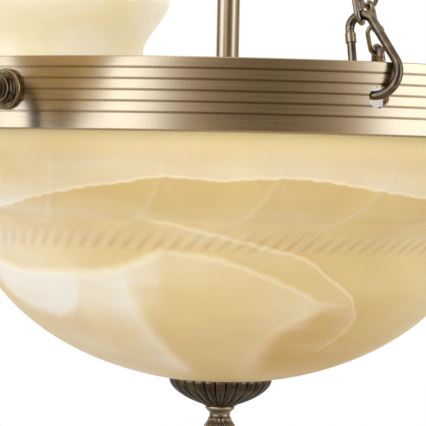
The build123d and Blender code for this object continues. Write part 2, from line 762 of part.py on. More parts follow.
# Cup, shade, lampholder and ring, modelled on the lamp's own axis
cup_inner = shade_neck + gap
cup_radius = cup_inner + cup_wall
cup = turned(
    open_chain(
        (0, cup_floor_height),
        (cup_inner, cup_floor_height),
        (cup_inner, cup_floor_height + cup_rim),
        (cup_radius, cup_floor_height + cup_rim),
        (cup_radius, cup_low),
    ),
    oval_arc(cup_stem, cup_low, cup_radius - cup_stem, cup_bowl, 270, 360),
    open_chain(
        (cup_stem, cup_low - cup_bowl),
        (cup_stem, cup_foot),
        (0, cup_foot),
        (0, cup_floor_height),
    ),
)
cup -= rod(arm_radius + fit, cup_foot, cup_floor_height)


def shade_body(inset, top):
    """The bell's form, drawn in by the glass wall when it is the hollow."""
    low = cup_floor_height + inset
    bell_low = low + shade_neck_height
    neck = shade_neck - inset
    waist_height = cup_floor_height + shade_waist_rise
    lip_height = cup_floor_height + shade_lip_rise
    flare = Spline(
        at(shade_waist - inset, waist_height),
        at(shade_lip - inset, lip_height),
        tangents=[(0, 0, 1), (0, 0, 1)],
    )
    return turned(
        open_chain((0, low), (neck, low), (neck, bell_low)),
        oval_arc(neck, waist_height, shade_waist - shade_neck, waist_height - bell_low, 270, 360),
        flare,
        open_chain((shade_lip - inset, lip_height), (shade_lip - inset, top), (0, top), (0, low)),
    )


shade_top = cup_floor_height + shade_height
shade = shade_body(0, shade_top) - shade_body(shade_wall, shade_top)
shade += Pos(0, 0, shade_top) * Torus(shade_lip - shade_wall / 2, shade_wall / 2)
shade -= rod(small_holder_radius + gap, cup_floor_height, shade_top)
small_holder = Pos(0, 0, cup_floor_height) * lampholder(
    small_holder_radius, small_holder_length, small_lamp_bore, small_lamp_depth, 0
)
small_holder -= rod(arm_radius + fit, cup_floor_height, arm_end)
small_contact = Pos(0, 0, cup_floor_height) * contact(small_holder_length, small_lamp_depth)
ring_low = cup_floor_height + shade_wall
shade_ring_radius = shade_neck - shade_wall - gap
shade_ring = tube(small_holder_radius + fit, shade_ring_radius, ring_low, ring_low + shade_ring_height)

lamp_axis = Pos(arm_reach, 0, 0)
for place, angle in arm_angles.items():
    pieces["arm_tube_" + place] = around(arm, angle)
    pieces["arm_rosette_" + place] = around(rosette, angle)
    pieces["shade_cup_" + place] = around(lamp_axis * cup, angle)
    pieces["shade_" + place] = around(lamp_axis * shade, angle)
    pieces["arm_lampholder_" + place] = around(lamp_axis * small_holder, angle)
    pieces["shade_ring_" + place] = around(lamp_axis * shade_ring, angle)
inside_seat = Pos(0, 0, hole_height)
pieces["arm_washers"] = group(
    around(inside_seat * facing_out(arm_washer), angle) for angle in arm_angles.values()
)
pieces["arm_nuts"] = group(
    around(inside_seat * facing_out(arm_nut), angle) for angle in arm_angles.values()
)
pieces["arm_lamp_contacts"] = group(
    around(lamp_axis * small_contact, angle) for angle in arm_angles.values()
)

for name, piece in pieces.items():
    export_step(piece, "parts/" + name + ".step")
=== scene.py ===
import json
import math

import bmesh
import bpy
import numpy as np
from mathutils import Matrix, Vector


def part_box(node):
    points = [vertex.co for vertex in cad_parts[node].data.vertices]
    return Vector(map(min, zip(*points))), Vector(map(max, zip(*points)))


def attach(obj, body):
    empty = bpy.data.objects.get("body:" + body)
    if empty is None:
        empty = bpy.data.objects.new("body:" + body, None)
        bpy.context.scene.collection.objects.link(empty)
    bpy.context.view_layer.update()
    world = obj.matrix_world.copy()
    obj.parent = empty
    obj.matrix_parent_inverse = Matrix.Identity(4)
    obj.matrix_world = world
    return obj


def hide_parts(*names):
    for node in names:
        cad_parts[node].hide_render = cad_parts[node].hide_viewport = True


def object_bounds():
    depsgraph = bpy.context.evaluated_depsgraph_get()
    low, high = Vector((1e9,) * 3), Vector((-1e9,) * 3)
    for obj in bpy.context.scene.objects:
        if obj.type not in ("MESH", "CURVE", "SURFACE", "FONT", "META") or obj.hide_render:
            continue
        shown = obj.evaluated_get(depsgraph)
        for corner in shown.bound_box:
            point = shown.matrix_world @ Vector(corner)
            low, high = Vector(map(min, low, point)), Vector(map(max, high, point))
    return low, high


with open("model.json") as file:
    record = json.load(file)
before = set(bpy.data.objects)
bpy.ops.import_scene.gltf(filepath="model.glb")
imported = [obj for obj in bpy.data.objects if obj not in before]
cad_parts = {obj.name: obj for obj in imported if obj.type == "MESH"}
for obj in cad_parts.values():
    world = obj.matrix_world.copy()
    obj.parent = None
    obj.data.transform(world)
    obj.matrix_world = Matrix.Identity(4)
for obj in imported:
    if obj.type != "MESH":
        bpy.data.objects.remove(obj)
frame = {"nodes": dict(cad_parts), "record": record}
cad_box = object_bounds()
nodes = frame["nodes"]

MM = 0.001
ARM_ANGLES = {"right": 0, "rear_left": 120, "front_left": 240}
CHAIN_ANGLES = {"rear_right": 65, "left": 180, "front_right": 300}

# Band: lengths are in metres, and heights go from its lower edge
band_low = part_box("band")[0][2]
band_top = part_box("band")[1][2]
band_radius = 200 * MM
band_wall = 2 * MM
band_edge = 1.3 * MM
band_corner = 0.7 * MM
groove_count = 5
groove_first = band_low + 9.9 * MM
groove_pitch = 5.9 * MM
groove_width = 1.5 * MM
groove_depth = 0.4 * MM
groove_draft = 0.05 * MM
lip_inner = 187.5 * MM
lip_thickness = 1.6 * MM
arm_hole_height = band_low + 21.5 * MM
hook_hole_height = band_low + 20.6 * MM
hook_hole = 5.9 * MM
arm_hole = 5.05 * MM

# Glass bowl
glass_wall = 5 * MM
rim_low = band_low + 2.8 * MM
rim_top = rim_low + 5 * MM
rim_radius = 196.8 * MM
neck_radius = 186 * MM
cove_radius = 49 * MM
cove_height = band_low - 3.6 * MM
cove_turn = 60
rope_height = band_low - 56.5 * MM
rope_swell = 1.5 * MM
dome_height = band_low - 37.1 * MM
dome_radius = 153 * MM
dome_depth = 108 * MM
bowl_hole = 5.5 * MM
seat_radius = 22 * MM

# The camera, level with the upper shoulder of the bowl
eye_height = band_low - 27.6 * MM
camera_distance = 1.6
camera_azimuth = math.radians(6.2)

# Where most of a noise's values lie, and the setting that softens both ends of a range
NOISE_SPAN = {"From Min": 0.3, "From Max": 0.7}
SOFT_ENDS = {"interpolation_type": "SMOOTHSTEP"}


def colour(code):
    """Linear red, green, blue and alpha of an sRGB hex value."""
    channels = [int(code[start : start + 2], 16) / 255 for start in (1, 3, 5)]
    linear = [c / 12.92 if c <= 0.04045 else ((c + 0.055) / 1.055) ** 2.4 for c in channels]
    return (*linear, 1.0)


def feed(tree, node, inputs):
    """Sets a node's inputs, or links them where a socket is given."""
    for name, value in inputs.items():
        socket = node.inputs[name]
        if isinstance(value, bpy.types.NodeSocket):
            tree.links.new(value, socket)
        else:
            socket.default_value = value


def add(tree, kind, inputs=None, **settings):
    """Adds a node, makes its settings, then sets its inputs or links them to sockets."""
    node = tree.nodes.new(kind)
    for name, value in settings.items():
        setattr(node, name, value)
    feed(tree, node, inputs or {})
    return node


def finish_piece(obj, body, replaced):
    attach(obj, body)
    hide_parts(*replaced)


# Meshes


def arc(centre, width, height, start, end, count):
    """Points of an oval arc of a half section, angles in degrees from the outward side."""
    turns = np.radians(np.linspace(start, end, count))
    return [(centre[0] + width * math.cos(t), centre[1] + height * math.sin(t)) for t in turns]


def waist(below, above, swell, count):
    """Points of a bridge that leaves one run of points and meets another smoothly, swelling between."""
    start, end = np.array(below[1]), np.array(above[0])
    length = np.linalg.norm(end - start)
    leave = start - np.array(below[0])
    meet = np.array(above[1]) - end
    first = start + leave / np.linalg.norm(leave) * length / 3
    second = end - meet / np.linalg.norm(meet) * length / 3
    points = []
    for share in np.linspace(0, 1, count + 2)[1:-1]:
        back = 1 - share
        point = back**3 * start + 3 * back**2 * share * first + 3 * back * share**2 * second + share**3 * end
        rise = swell * math.sin(math.pi * share) ** 2
        points.append((point[0] + rise, point[1]))
    return points


def ring_mesh(name, profile, segments, inside=()):
    """A closed ring turned from a closed half section; points listed in inside get outer = 0."""
    section = np.array(profile)
    rows = len(section)
    turns = np.linspace(0, 2 * math.pi, segments, endpoint=False)
    points = np.empty((segments, rows, 3))
    points[:, :, 0] = np.cos(turns)[:, None] * section[None, :, 0]
    points[:, :, 1] = np.sin(turns)[:, None] * section[None, :, 0]
    points[:, :, 2] = section[None, :, 1]
    index = np.arange(segments * rows).reshape(segments, rows)
    ahead = np.roll(index, -1, axis=0)
    quads = np.stack([index, ahead, np.roll(ahead, -1, axis=1), np.roll(index, -1, axis=1)], axis=-1)
    mesh = bpy.data.meshes.new(name)
    mesh.from_pydata(points.reshape(-1, 3).tolist(), [], quads.reshape(-1, 4).tolist())
    outer = np.ones((segments, rows), np.float32)
    outer[:, list(inside)] = 0
    mesh.attributes.new("outer", "FLOAT", "POINT").data.foreach_set("value", outer.ravel())
    outward(mesh)
    return mesh


def outward(mesh):
    """Points all faces of a closed mesh outwards."""
    shape = bmesh.new()
    shape.from_mesh(mesh)
    bmesh.ops.recalc_face_normals(shape, faces=shape.faces)
    shape.to_mesh(mesh)
    shape.free()


def shape_mesh(name, shape):
    """A mesh of a shape, which is then done with."""
    mesh = bpy.data.meshes.new(name)
    shape.to_mesh(mesh)
    shape.free()
    return mesh


def plain_copy(obj):
    """The mesh of an object as its modifiers leave it."""
    return bpy.data.meshes.new_from_object(obj.evaluated_get(bpy.context.evaluated_depsgraph_get()))


def smooth(mesh, crease):
    mesh.shade_smooth()
    mesh.set_sharp_from_angle(angle=math.radians(crease))


def piece(name, mesh, material=None):
    obj = bpy.data.objects.new(name, mesh)
    bpy.context.scene.collection.objects.link(obj)
    if material:
        mesh.materials.clear()
        mesh.materials.append(material)
    return obj


def geometry_tree(name, *sizes):
    """A Geometry Nodes tree with a mesh input, named sizes and a material."""
    tree = bpy.data.node_groups.new(name, "GeometryNodeTree")
    tree.interface.new_socket("Geometry", in_out="OUTPUT", socket_type="NodeSocketGeometry")
    tree.interface.new_socket("Geometry", in_out="INPUT", socket_type="NodeSocketGeometry")
    for label in sizes:
        tree.interface.new_socket(label, in_out="INPUT", socket_type="NodeSocketFloat")
    tree.interface.new_socket("Finish", in_out="INPUT", socket_type="NodeSocketMaterial")
    return tree, tree.nodes.new("NodeGroupInput").outputs


def close_tree(tree, geometry, finish):
    """Ends a tree: smooth faces, material, realized instances."""
    shaded = add(tree, "GeometryNodeSetShadeSmooth", {"Geometry": geometry})
    finished = add(tree, "GeometryNodeSetMaterial", {"Geometry": shaded.outputs[0], "Material": finish})
    real = add(tree, "GeometryNodeRealizeInstances", {"Geometry": finished.outputs[0]})
    add(tree, "NodeGroupOutput", {"Geometry": real.outputs[0]})


def close_relief(tree, given, ridge, push):
    """Ends a tree that marks its ridges and moves its points along their normals."""
    normal = add(tree, "GeometryNodeInputNormal")
    offset = add(
        tree, "ShaderNodeVectorMath", {0: normal.outputs[0], "Scale": push.outputs[0]}, operation="SCALE"
    )
    marked = add(
        tree,
        "GeometryNodeStoreNamedAttribute",
        {"Geometry": given["Geometry"], "Name": "ridge", "Value": ridge.outputs[0]},
        data_type="FLOAT",
        domain="POINT",
    )
    moved = add(tree, "GeometryNodeSetPosition", {"Geometry": marked.outputs[0], "Offset": offset.outputs[0]})
    close_tree(tree, moved.outputs[0], given["Finish"])


def grow(name, tree, mesh, **values):
    """Runs a tree on a mesh with the given sizes and returns the plain result."""
    seed = piece(name + "_seed", mesh)
    modifier = seed.modifiers.new("shape", "NODES")
    modifier.node_group = tree
    for socket in tree.interface.items_tree:
        if socket.in_out == "INPUT" and socket.name in values:
            modifier[socket.identifier] = values[socket.name]
    result = plain_copy(seed)
    bpy.data.objects.remove(seed)
    result.name = name
    return piece(name, result)


# Geometry Nodes: gadroons, twisted rope, swags and chain links


def gadroon_tree():
    """Presses round lobes into a turned mesh, between two heights, upright or at a slant."""
    tree, given = geometry_tree("gadroons", "Count", "Slant", "Depth", "Round", "Low", "High", "Soft")
    place = add(tree, "ShaderNodeSeparateXYZ", {0: add(tree, "GeometryNodeInputPosition").outputs[0]})
    turn = add(tree, "ShaderNodeMath", {0: place.outputs[1], 1: place.outputs[0]}, operation="ARCTAN2")
    share = add(tree, "ShaderNodeMath", {0: turn.outputs[0], 1: 2 * math.pi}, operation="DIVIDE")
    lobe = add(tree, "ShaderNodeMath", {0: share.outputs[0], 1: given["Count"]}, operation="MULTIPLY")
    shift = add(tree, "ShaderNodeMath", {0: place.outputs[2], 1: given["Slant"]}, operation="MULTIPLY")
    slanted = add(tree, "ShaderNodeMath", {0: lobe.outputs[0], 1: shift.outputs[0]}, operation="SUBTRACT")
    across = add(tree, "ShaderNodeMath", {0: slanted.outputs[0]}, operation="FRACT")
    side = add(tree, "ShaderNodeMath", {0: across.outputs[0], 1: 2.0, 2: -1.0}, operation="MULTIPLY_ADD")
    square = add(tree, "ShaderNodeMath", {0: side.outputs[0], 1: side.outputs[0]}, operation="MULTIPLY")
    rest = add(tree, "ShaderNodeMath", {0: 1.0, 1: square.outputs[0]}, operation="SUBTRACT")
    crown = add(tree, "ShaderNodeMath", {0: rest.outputs[0], 1: given["Round"]}, operation="POWER")
    hollow = add(tree, "ShaderNodeMath", {0: crown.outputs[0], 1: 1.0}, operation="SUBTRACT")
    low_end = add(tree, "ShaderNodeMath", {0: given["Low"], 1: given["Soft"]}, operation="ADD")
    high_end = add(tree, "ShaderNodeMath", {0: given["High"], 1: given["Soft"]}, operation="SUBTRACT")
    rise = add(
        tree, "ShaderNodeMapRange", {0: place.outputs[2], 1: given["Low"], 2: low_end.outputs[0]}, **SOFT_ENDS
    )
    fall = add(
        tree,
        "ShaderNodeMapRange",
        {0: place.outputs[2], 1: given["High"], 2: high_end.outputs[0]},
        **SOFT_ENDS,
    )
    zone = add(tree, "ShaderNodeMath", {0: rise.outputs[0], 1: fall.outputs[0]}, operation="MULTIPLY")
    outer = add(tree, "GeometryNodeInputNamedAttribute", {"Name": "outer"}, data_type="FLOAT")
    shown = add(tree, "ShaderNodeMath", {0: zone.outputs[0], 1: outer.outputs[0]}, operation="MULTIPLY")
    depth = add(tree, "ShaderNodeMath", {0: hollow.outputs[0], 1: given["Depth"]}, operation="MULTIPLY")
    push = add(tree, "ShaderNodeMath", {0: depth.outputs[0], 1: shown.outputs[0]}, operation="MULTIPLY")
    lobes = add(tree, "ShaderNodeMath", {0: crown.outputs[0], 1: shown.outputs[0]}, operation="MULTIPLY")
    older = add(tree, "GeometryNodeInputNamedAttribute", {"Name": "ridge"}, data_type="FLOAT")
    standing = add(tree, "ShaderNodeMath", {0: lobes.outputs[0], 1: older.outputs[0]}, operation="MAXIMUM")
    close_relief(tree, given, standing, push)
    return tree


def swag_tree():
    """Raises a row of hanging swags, with an upright ribbon over each joint, on the bowl's shoulder."""
    tree, given = geometry_tree(
        "swags", "Count", "Start", "Knot", "Drop", "Ribbon", "Width", "Span", "Relief"
    )
    place = add(tree, "ShaderNodeSeparateXYZ", {0: add(tree, "GeometryNodeInputPosition").outputs[0]})
    turn = add(tree, "ShaderNodeMath", {0: place.outputs[1], 1: place.outputs[0]}, operation="ARCTAN2")
    away = add(tree, "ShaderNodeMath", {0: turn.outputs[0], 1: given["Start"]}, operation="SUBTRACT")
    share = add(tree, "ShaderNodeMath", {0: away.outputs[0], 1: 2 * math.pi}, operation="DIVIDE")
    count = add(tree, "ShaderNodeMath", {0: share.outputs[0], 1: given["Count"]}, operation="MULTIPLY")
    along = add(tree, "ShaderNodeMath", {0: count.outputs[0]}, operation="FRACT")
    side = add(tree, "ShaderNodeMath", {0: along.outputs[0], 1: 2.0, 2: -1.0}, operation="MULTIPLY_ADD")
    out = add(tree, "ShaderNodeMath", {0: side.outputs[0]}, operation="ABSOLUTE")
    # The line follows a power of the way out from the middle, and its width is measured square to it
    sag = 2.4
    rise = add(tree, "ShaderNodeMath", {0: out.outputs[0], 1: sag}, operation="POWER")
    short = add(tree, "ShaderNodeMath", {0: rise.outputs[0], 1: 1.0}, operation="SUBTRACT")
    line = add(
        tree,
        "ShaderNodeMath",
        {0: short.outputs[0], 1: given["Drop"], 2: given["Knot"]},
        operation="MULTIPLY_ADD",
    )
    off = add(tree, "ShaderNodeMath", {0: place.outputs[2], 1: line.outputs[0]}, operation="SUBTRACT")
    off_size = add(tree, "ShaderNodeMath", {0: off.outputs[0]}, operation="ABSOLUTE")
    steep = add(tree, "ShaderNodeMath", {0: out.outputs[0], 1: sag - 1}, operation="POWER")
    reach = add(tree, "ShaderNodeMath", {0: given["Drop"], 1: given["Span"]}, operation="DIVIDE")
    slope = add(tree, "ShaderNodeMath", {0: reach.outputs[0], 1: 2 * sag}, operation="MULTIPLY")
    grade = add(tree, "ShaderNodeMath", {0: slope.outputs[0], 1: steep.outputs[0]}, operation="MULTIPLY")
    grade_two = add(
        tree, "ShaderNodeMath", {0: grade.outputs[0], 1: grade.outputs[0], 2: 1.0}, operation="MULTIPLY_ADD"
    )
    lean = add(tree, "ShaderNodeMath", {0: grade_two.outputs[0]}, operation="SQRT")
    square_off = add(tree, "ShaderNodeMath", {0: off_size.outputs[0], 1: lean.outputs[0]}, operation="DIVIDE")
    swag = add(tree, "ShaderNodeMapRange", {0: square_off.outputs[0], 1: given["Width"], 2: 0.0}, **SOFT_ENDS)
    to_joint = add(tree, "ShaderNodeMath", {0: 1.0, 1: out.outputs[0]}, operation="SUBTRACT")
    half_span = add(tree, "ShaderNodeMath", {0: given["Span"], 1: 0.5}, operation="MULTIPLY")
    joint_off = add(
        tree, "ShaderNodeMath", {0: to_joint.outputs[0], 1: half_span.outputs[0]}, operation="MULTIPLY"
    )
    upright = add(
        tree, "ShaderNodeMapRange", {0: joint_off.outputs[0], 1: given["Width"], 2: 0.0}, **SOFT_ENDS
    )
    above = add(tree, "ShaderNodeMath", {0: place.outputs[2], 1: given["Knot"]}, operation="SUBTRACT")
    top = add(tree, "ShaderNodeMapRange", {0: above.outputs[0], 1: given["Ribbon"], 2: 0.0}, **SOFT_ENDS)
    foot = add(tree, "ShaderNodeMapRange", {0: above.outputs[0], 1: -4 * MM, 2: 0.0}, **SOFT_ENDS)
    ends = add(tree, "ShaderNodeMath", {0: top.outputs[0], 1: foot.outputs[0]}, operation="MULTIPLY")
    ribbon = add(tree, "ShaderNodeMath", {0: ends.outputs[0], 1: upright.outputs[0]}, operation="MULTIPLY")
    weight = add(
        tree, "ShaderNodeMapRange", {0: along.outputs[0], 1: 0.3, 2: 0.7, 3: 0.4, 4: 1.0}, **SOFT_ENDS
    )
    drape = add(tree, "ShaderNodeMath", {0: swag.outputs[0], 1: weight.outputs[0]}, operation="MULTIPLY")
    ridge = add(tree, "ShaderNodeMath", {0: drape.outputs[0], 1: ribbon.outputs[0]}, operation="MAXIMUM")
    outer = add(tree, "GeometryNodeInputNamedAttribute", {"Name": "outer"}, data_type="FLOAT")
    shown = add(tree, "ShaderNodeMath", {0: ridge.outputs[0], 1: outer.outputs[0]}, operation="MULTIPLY")
    push = add(tree, "ShaderNodeMath", {0: shown.outputs[0], 1: given["Relief"]}, operation="MULTIPLY")
    close_relief(tree, given, shown, push)
    return tree


def chain_tree():
    """Sets an oval wire link on each point, turned by the point's own facing."""
    tree, given = geometry_tree("chain", "Length", "Breadth", "Wire")
    oval = add(
        tree,
        "GeometryNodeCurvePrimitiveQuadrilateral",
        {"Width": given["Breadth"], "Height": given["Length"]},
    )
    bend = add(tree, "ShaderNodeMath", {0: given["Breadth"], 1: 0.5}, operation="MULTIPLY")
    rounded = add(
        tree,
        "GeometryNodeFilletCurve",
        {"Curve": oval.outputs[0], "Count": 9, "Radius": bend.outputs[0], "Limit Radius": True},
        mode="POLY",
    )
    section = add(tree, "GeometryNodeCurvePrimitiveCircle", {"Resolution": 14, "Radius": given["Wire"]})
    link = add(
        tree, "GeometryNodeCurveToMesh", {"Curve": rounded.outputs[0], "Profile Curve": section.outputs[0]}
    )
    facing = add(tree, "GeometryNodeInputNamedAttribute", {"Name": "facing"}, data_type="FLOAT_VECTOR")
    turn = add(tree, "FunctionNodeEulerToRotation", {0: facing.outputs[0]})
    placed = add(
        tree,
        "GeometryNodeInstanceOnPoints",
        {"Points": given["Geometry"], "Instance": link.outputs[0], "Rotation": turn.outputs[0]},
    )
    real = add(tree, "GeometryNodeRealizeInstances", {"Geometry": placed.outputs[0]})
    close_tree(tree, real.outputs[0], given["Finish"])
    return tree


# Materials


def surface(name):
    """A new material with its tree, its shader and the object coordinates."""
    material = bpy.data.materials.new(name)
    material.use_nodes = True
    tree = material.node_tree
    shader = tree.nodes["Principled BSDF"]
    place = add(tree, "ShaderNodeTexCoord").outputs["Object"]
    return material, tree, shader, place


def set_shader(tree, shader, **inputs):
    """Sets or links a shader's inputs, with low lines for the spaces in their names."""
    feed(tree, shader, {name.replace("_", " "): value for name, value in inputs.items()})


def turn_from_front(tree, split):
    """Angle round the axis from the front, positive to the right."""
    ahead = add(tree, "ShaderNodeMath", {0: split.outputs[1], 1: -1.0}, operation="MULTIPLY")
    return add(tree, "ShaderNodeMath", {0: split.outputs[0], 1: ahead.outputs[0]}, operation="ARCTAN2")


def trace(curve, spots):
    """Leads a curve through spots that lie between 0 and 1."""
    wire = curve.mapping.curves[0]
    wire.points[0].location = spots[0]
    wire.points[-1].location = spots[-1]
    for spot in spots[1:-1]:
        wire.points.new(*spot)
    curve.mapping.update()


def groove_patina_and_painted_light(tree, place):
    """Patina and painted shade in the band's grooves, with painted light: thinner where the band's highlights
    fall, away from the front.
    """
    split = add(tree, "ShaderNodeSeparateXYZ", {0: place})
    low = groove_first - groove_pitch / 2
    high = groove_first + (groove_count - 0.5) * groove_pitch
    first = add(tree, "ShaderNodeMath", {0: split.outputs[2], 1: low}, operation="SUBTRACT")
    count = add(tree, "ShaderNodeMath", {0: first.outputs[0], 1: groove_pitch}, operation="DIVIDE")
    part = add(tree, "ShaderNodeMath", {0: count.outputs[0]}, operation="FRACT")
    middle = add(tree, "ShaderNodeMath", {0: part.outputs[0], 1: 0.5}, operation="SUBTRACT")
    away = add(tree, "ShaderNodeMath", {0: middle.outputs[0]}, operation="ABSOLUTE")
    mark = groove_width / groove_pitch / 2
    groove_shade_and_patina = add(
        tree,
        "ShaderNodeMapRange",
        {"Value": away.outputs[0], "From Min": 1.25 * mark, "From Max": 0.35 * mark},
        **SOFT_ENDS,
    )
    under = add(tree, "ShaderNodeMath", {0: split.outputs[2], 1: high}, operation="LESS_THAN")
    over = add(tree, "ShaderNodeMath", {0: split.outputs[2], 1: low}, operation="GREATER_THAN")
    within = add(tree, "ShaderNodeMath", {0: under.outputs[0], 1: over.outputs[0]}, operation="MULTIPLY")
    turn = turn_from_front(tree, split)
    aside = add(tree, "ShaderNodeMath", {0: turn.outputs[0], 1: math.radians(13)}, operation="SUBTRACT")
    round_off = add(tree, "ShaderNodeMath", {0: aside.outputs[0]}, operation="ABSOLUTE")
    # Painted light: the grooves are lighter away from the front, where the band's highlights fall
    painted_highlight_fade = add(
        tree,
        "ShaderNodeMapRange",
        {
            "Value": round_off.outputs[0],
            "From Min": math.radians(20),
            "From Max": math.radians(36),
            "To Min": 1.0,
            "To Max": 0.6,
        },
        **SOFT_ENDS,
    )
    kept = add(tree, "ShaderNodeMath", {0: within.outputs[0], 1: painted_highlight_fade.outputs[0]}, operation="MULTIPLY")
    return add(tree, "ShaderNodeMath", {0: groove_shade_and_patina.outputs[0], 1: kept.outputs[0]}, operation="MULTIPLY")


def brass(name, light, dark, rough, marks, drawn, grooved=False):
    """Brushed brass under clear lacquer: a soft, wide shine drawn out along fine turning lines."""
    material, tree, shader, place = surface(name)
    # Lines about 70 mm long and 1.1 mm apart, coarser than real brushing so that they show
    lines = add(tree, "ShaderNodeMapping", {"Vector": place, "Scale": (14, 14, 1 / (1.1 * MM))})
    brushing = add(
        tree,
        "ShaderNodeTexNoise",
        {"Vector": lines.outputs[0], "Scale": 1.0, "Detail": 3.0, "Roughness": 0.65},
    )
    clouds = add(
        tree, "ShaderNodeTexNoise", {"Vector": place, "Scale": 1 / (34 * MM), "Detail": 4.0, "Roughness": 0.6}
    )
    tone = add(
        tree,
        "ShaderNodeMix",
        {"Factor": clouds.outputs[0], "A": colour(light), "B": colour(dark)},
        data_type="RGBA",
    )
    fine = add(
        tree,
        "ShaderNodeMapRange",
        {"Value": brushing.outputs[0], **NOISE_SPAN, "To Min": 1 - 0.07 * marks, "To Max": 1 + 0.05 * marks},
    )
    shade = add(
        tree, "ShaderNodeVectorMath", {0: tone.outputs["Result"], "Scale": fine.outputs[0]}, operation="SCALE"
    )
    final = shade.outputs[0]
    sheen = add(
        tree,
        "ShaderNodeMapRange",
        {
            "Value": brushing.outputs[0],
            **NOISE_SPAN,
            "To Min": rough - 0.03 * marks,
            "To Max": rough + 0.04 * marks,
        },
    )
    dull = sheen.outputs[0]
    lacquer = 1.0
    if grooved:
        patina = groove_patina_and_painted_light(tree, place)
        # Groove colour: patina and painted shade, thinner where the highlights fall (painted light)
        shaded_and_patinated = add(
            tree,
            "ShaderNodeMix",
            {"Factor": patina.outputs[0], "A": final, "B": colour("#785D3B")},
            data_type="RGBA",
        )
        final = shaded_and_patinated.outputs["Result"]
        duller = add(
            tree, "ShaderNodeMath", {0: patina.outputs[0], 1: 0.05, 2: dull}, operation="MULTIPLY_ADD"
        )
        dull = duller.outputs[0]
        bare = add(tree, "ShaderNodeMath", {0: 1.0, 1: patina.outputs[0]}, operation="SUBTRACT")
        lacquer = bare.outputs[0]
    bump = add(
        tree, "ShaderNodeBump", {"Strength": 0.1 * marks, "Distance": 0.1 * MM, "Height": brushing.outputs[0]}
    )
    around = add(tree, "ShaderNodeTangent", direction_type="RADIAL", axis="Z")
    set_shader(
        tree,
        shader,
        Base_Color=final,
        Metallic=1.0,
        Roughness=dull,
        Coat_Weight=lacquer,
        Coat_Roughness=0.25,
        Coat_IOR=1.85,
        Anisotropic=drawn,
        Anisotropic_Rotation=0.25,
        Tangent=around.outputs[0],
        Normal=bump.outputs[0],
    )
    return material


def bronze(name, dark, worn, rough):
    """Cast bronze with a dark patina: deep brown in the hollows, rubbed bright on what stands out; on the
    rosette this brightness is partly a painted highlight.
    """
    material, tree, shader, place = surface(name)
    clouds = add(
        tree, "ShaderNodeTexNoise", {"Vector": place, "Scale": 1 / (9 * MM), "Detail": 5.0, "Roughness": 0.62}
    )
    # Cast grit, drawn coarser than it is so that it shows
    grain = add(
        tree,
        "ShaderNodeTexNoise",
        {"Vector": place, "Scale": 1 / (1.1 * MM), "Detail": 2.0, "Roughness": 0.5},
    )
    edge = add(tree, "ShaderNodeNewGeometry")
    high = add(
        tree,
        "ShaderNodeMapRange",
        {"Value": edge.outputs["Pointiness"], "From Min": 0.49, "From Max": 0.56},
        **SOFT_ENDS,
    )
    patch = add(
        tree,
        "ShaderNodeMapRange",
        {"Value": clouds.outputs[0], "From Min": 0.42, "From Max": 0.72, "To Max": 0.55},
        **SOFT_ENDS,
    )
    # Worn bright on what stands out; on the rosette this is partly a painted highlight
    rubbed = add(
        tree, "ShaderNodeMath", {0: high.outputs[0], 1: patch.outputs[0]}, operation="ADD", use_clamp=True
    )
    tone = add(
        tree,
        "ShaderNodeMix",
        {"Factor": rubbed.outputs[0], "A": colour(dark), "B": colour(worn)},
        data_type="RGBA",
    )
    sheen = add(
        tree,
        "ShaderNodeMapRange",
        {"Value": grain.outputs[0], **NOISE_SPAN, "To Min": rough - 0.03, "To Max": rough + 0.04},
    )
    bump = add(tree, "ShaderNodeBump", {"Strength": 0.08, "Distance": 0.1 * MM, "Height": grain.outputs[0]})
    set_shader(
        tree,
        shader,
        Base_Color=tone.outputs["Result"],
        Metallic=1.0,
        Roughness=sheen.outputs[0],
        Normal=bump.outputs[0],
    )
    return material


def plain_grain(name, light, dark, grain, rough, metallic=0.0):
    """A dull moulded or plated surface: slight change of tone, and a faint grain coarse enough to show."""
    material, tree, shader, place = surface(name)
    clouds = add(tree, "ShaderNodeTexNoise", {"Vector": place, "Scale": 1 / (12 * MM), "Detail": 3.0})
    fine = add(tree, "ShaderNodeTexNoise", {"Vector": place, "Scale": 1 / grain, "Detail": 2.0})
    tone = add(
        tree,
        "ShaderNodeMix",
        {"Factor": clouds.outputs[0], "A": colour(light), "B": colour(dark)},
        data_type="RGBA",
    )
    sheen = add(
        tree,
        "ShaderNodeMapRange",
        {"Value": fine.outputs[0], **NOISE_SPAN, "To Min": rough - 0.06, "To Max": rough + 0.06},
    )
    bump = add(tree, "ShaderNodeBump", {"Strength": 0.15, "Distance": 0.1 * MM, "Height": fine.outputs[0]})
    set_shader(
        tree,
        shader,
        Base_Color=tone.outputs["Result"],
        Metallic=metallic,
        Roughness=sheen.outputs[0],
        Normal=bump.outputs[0],
    )
    return material


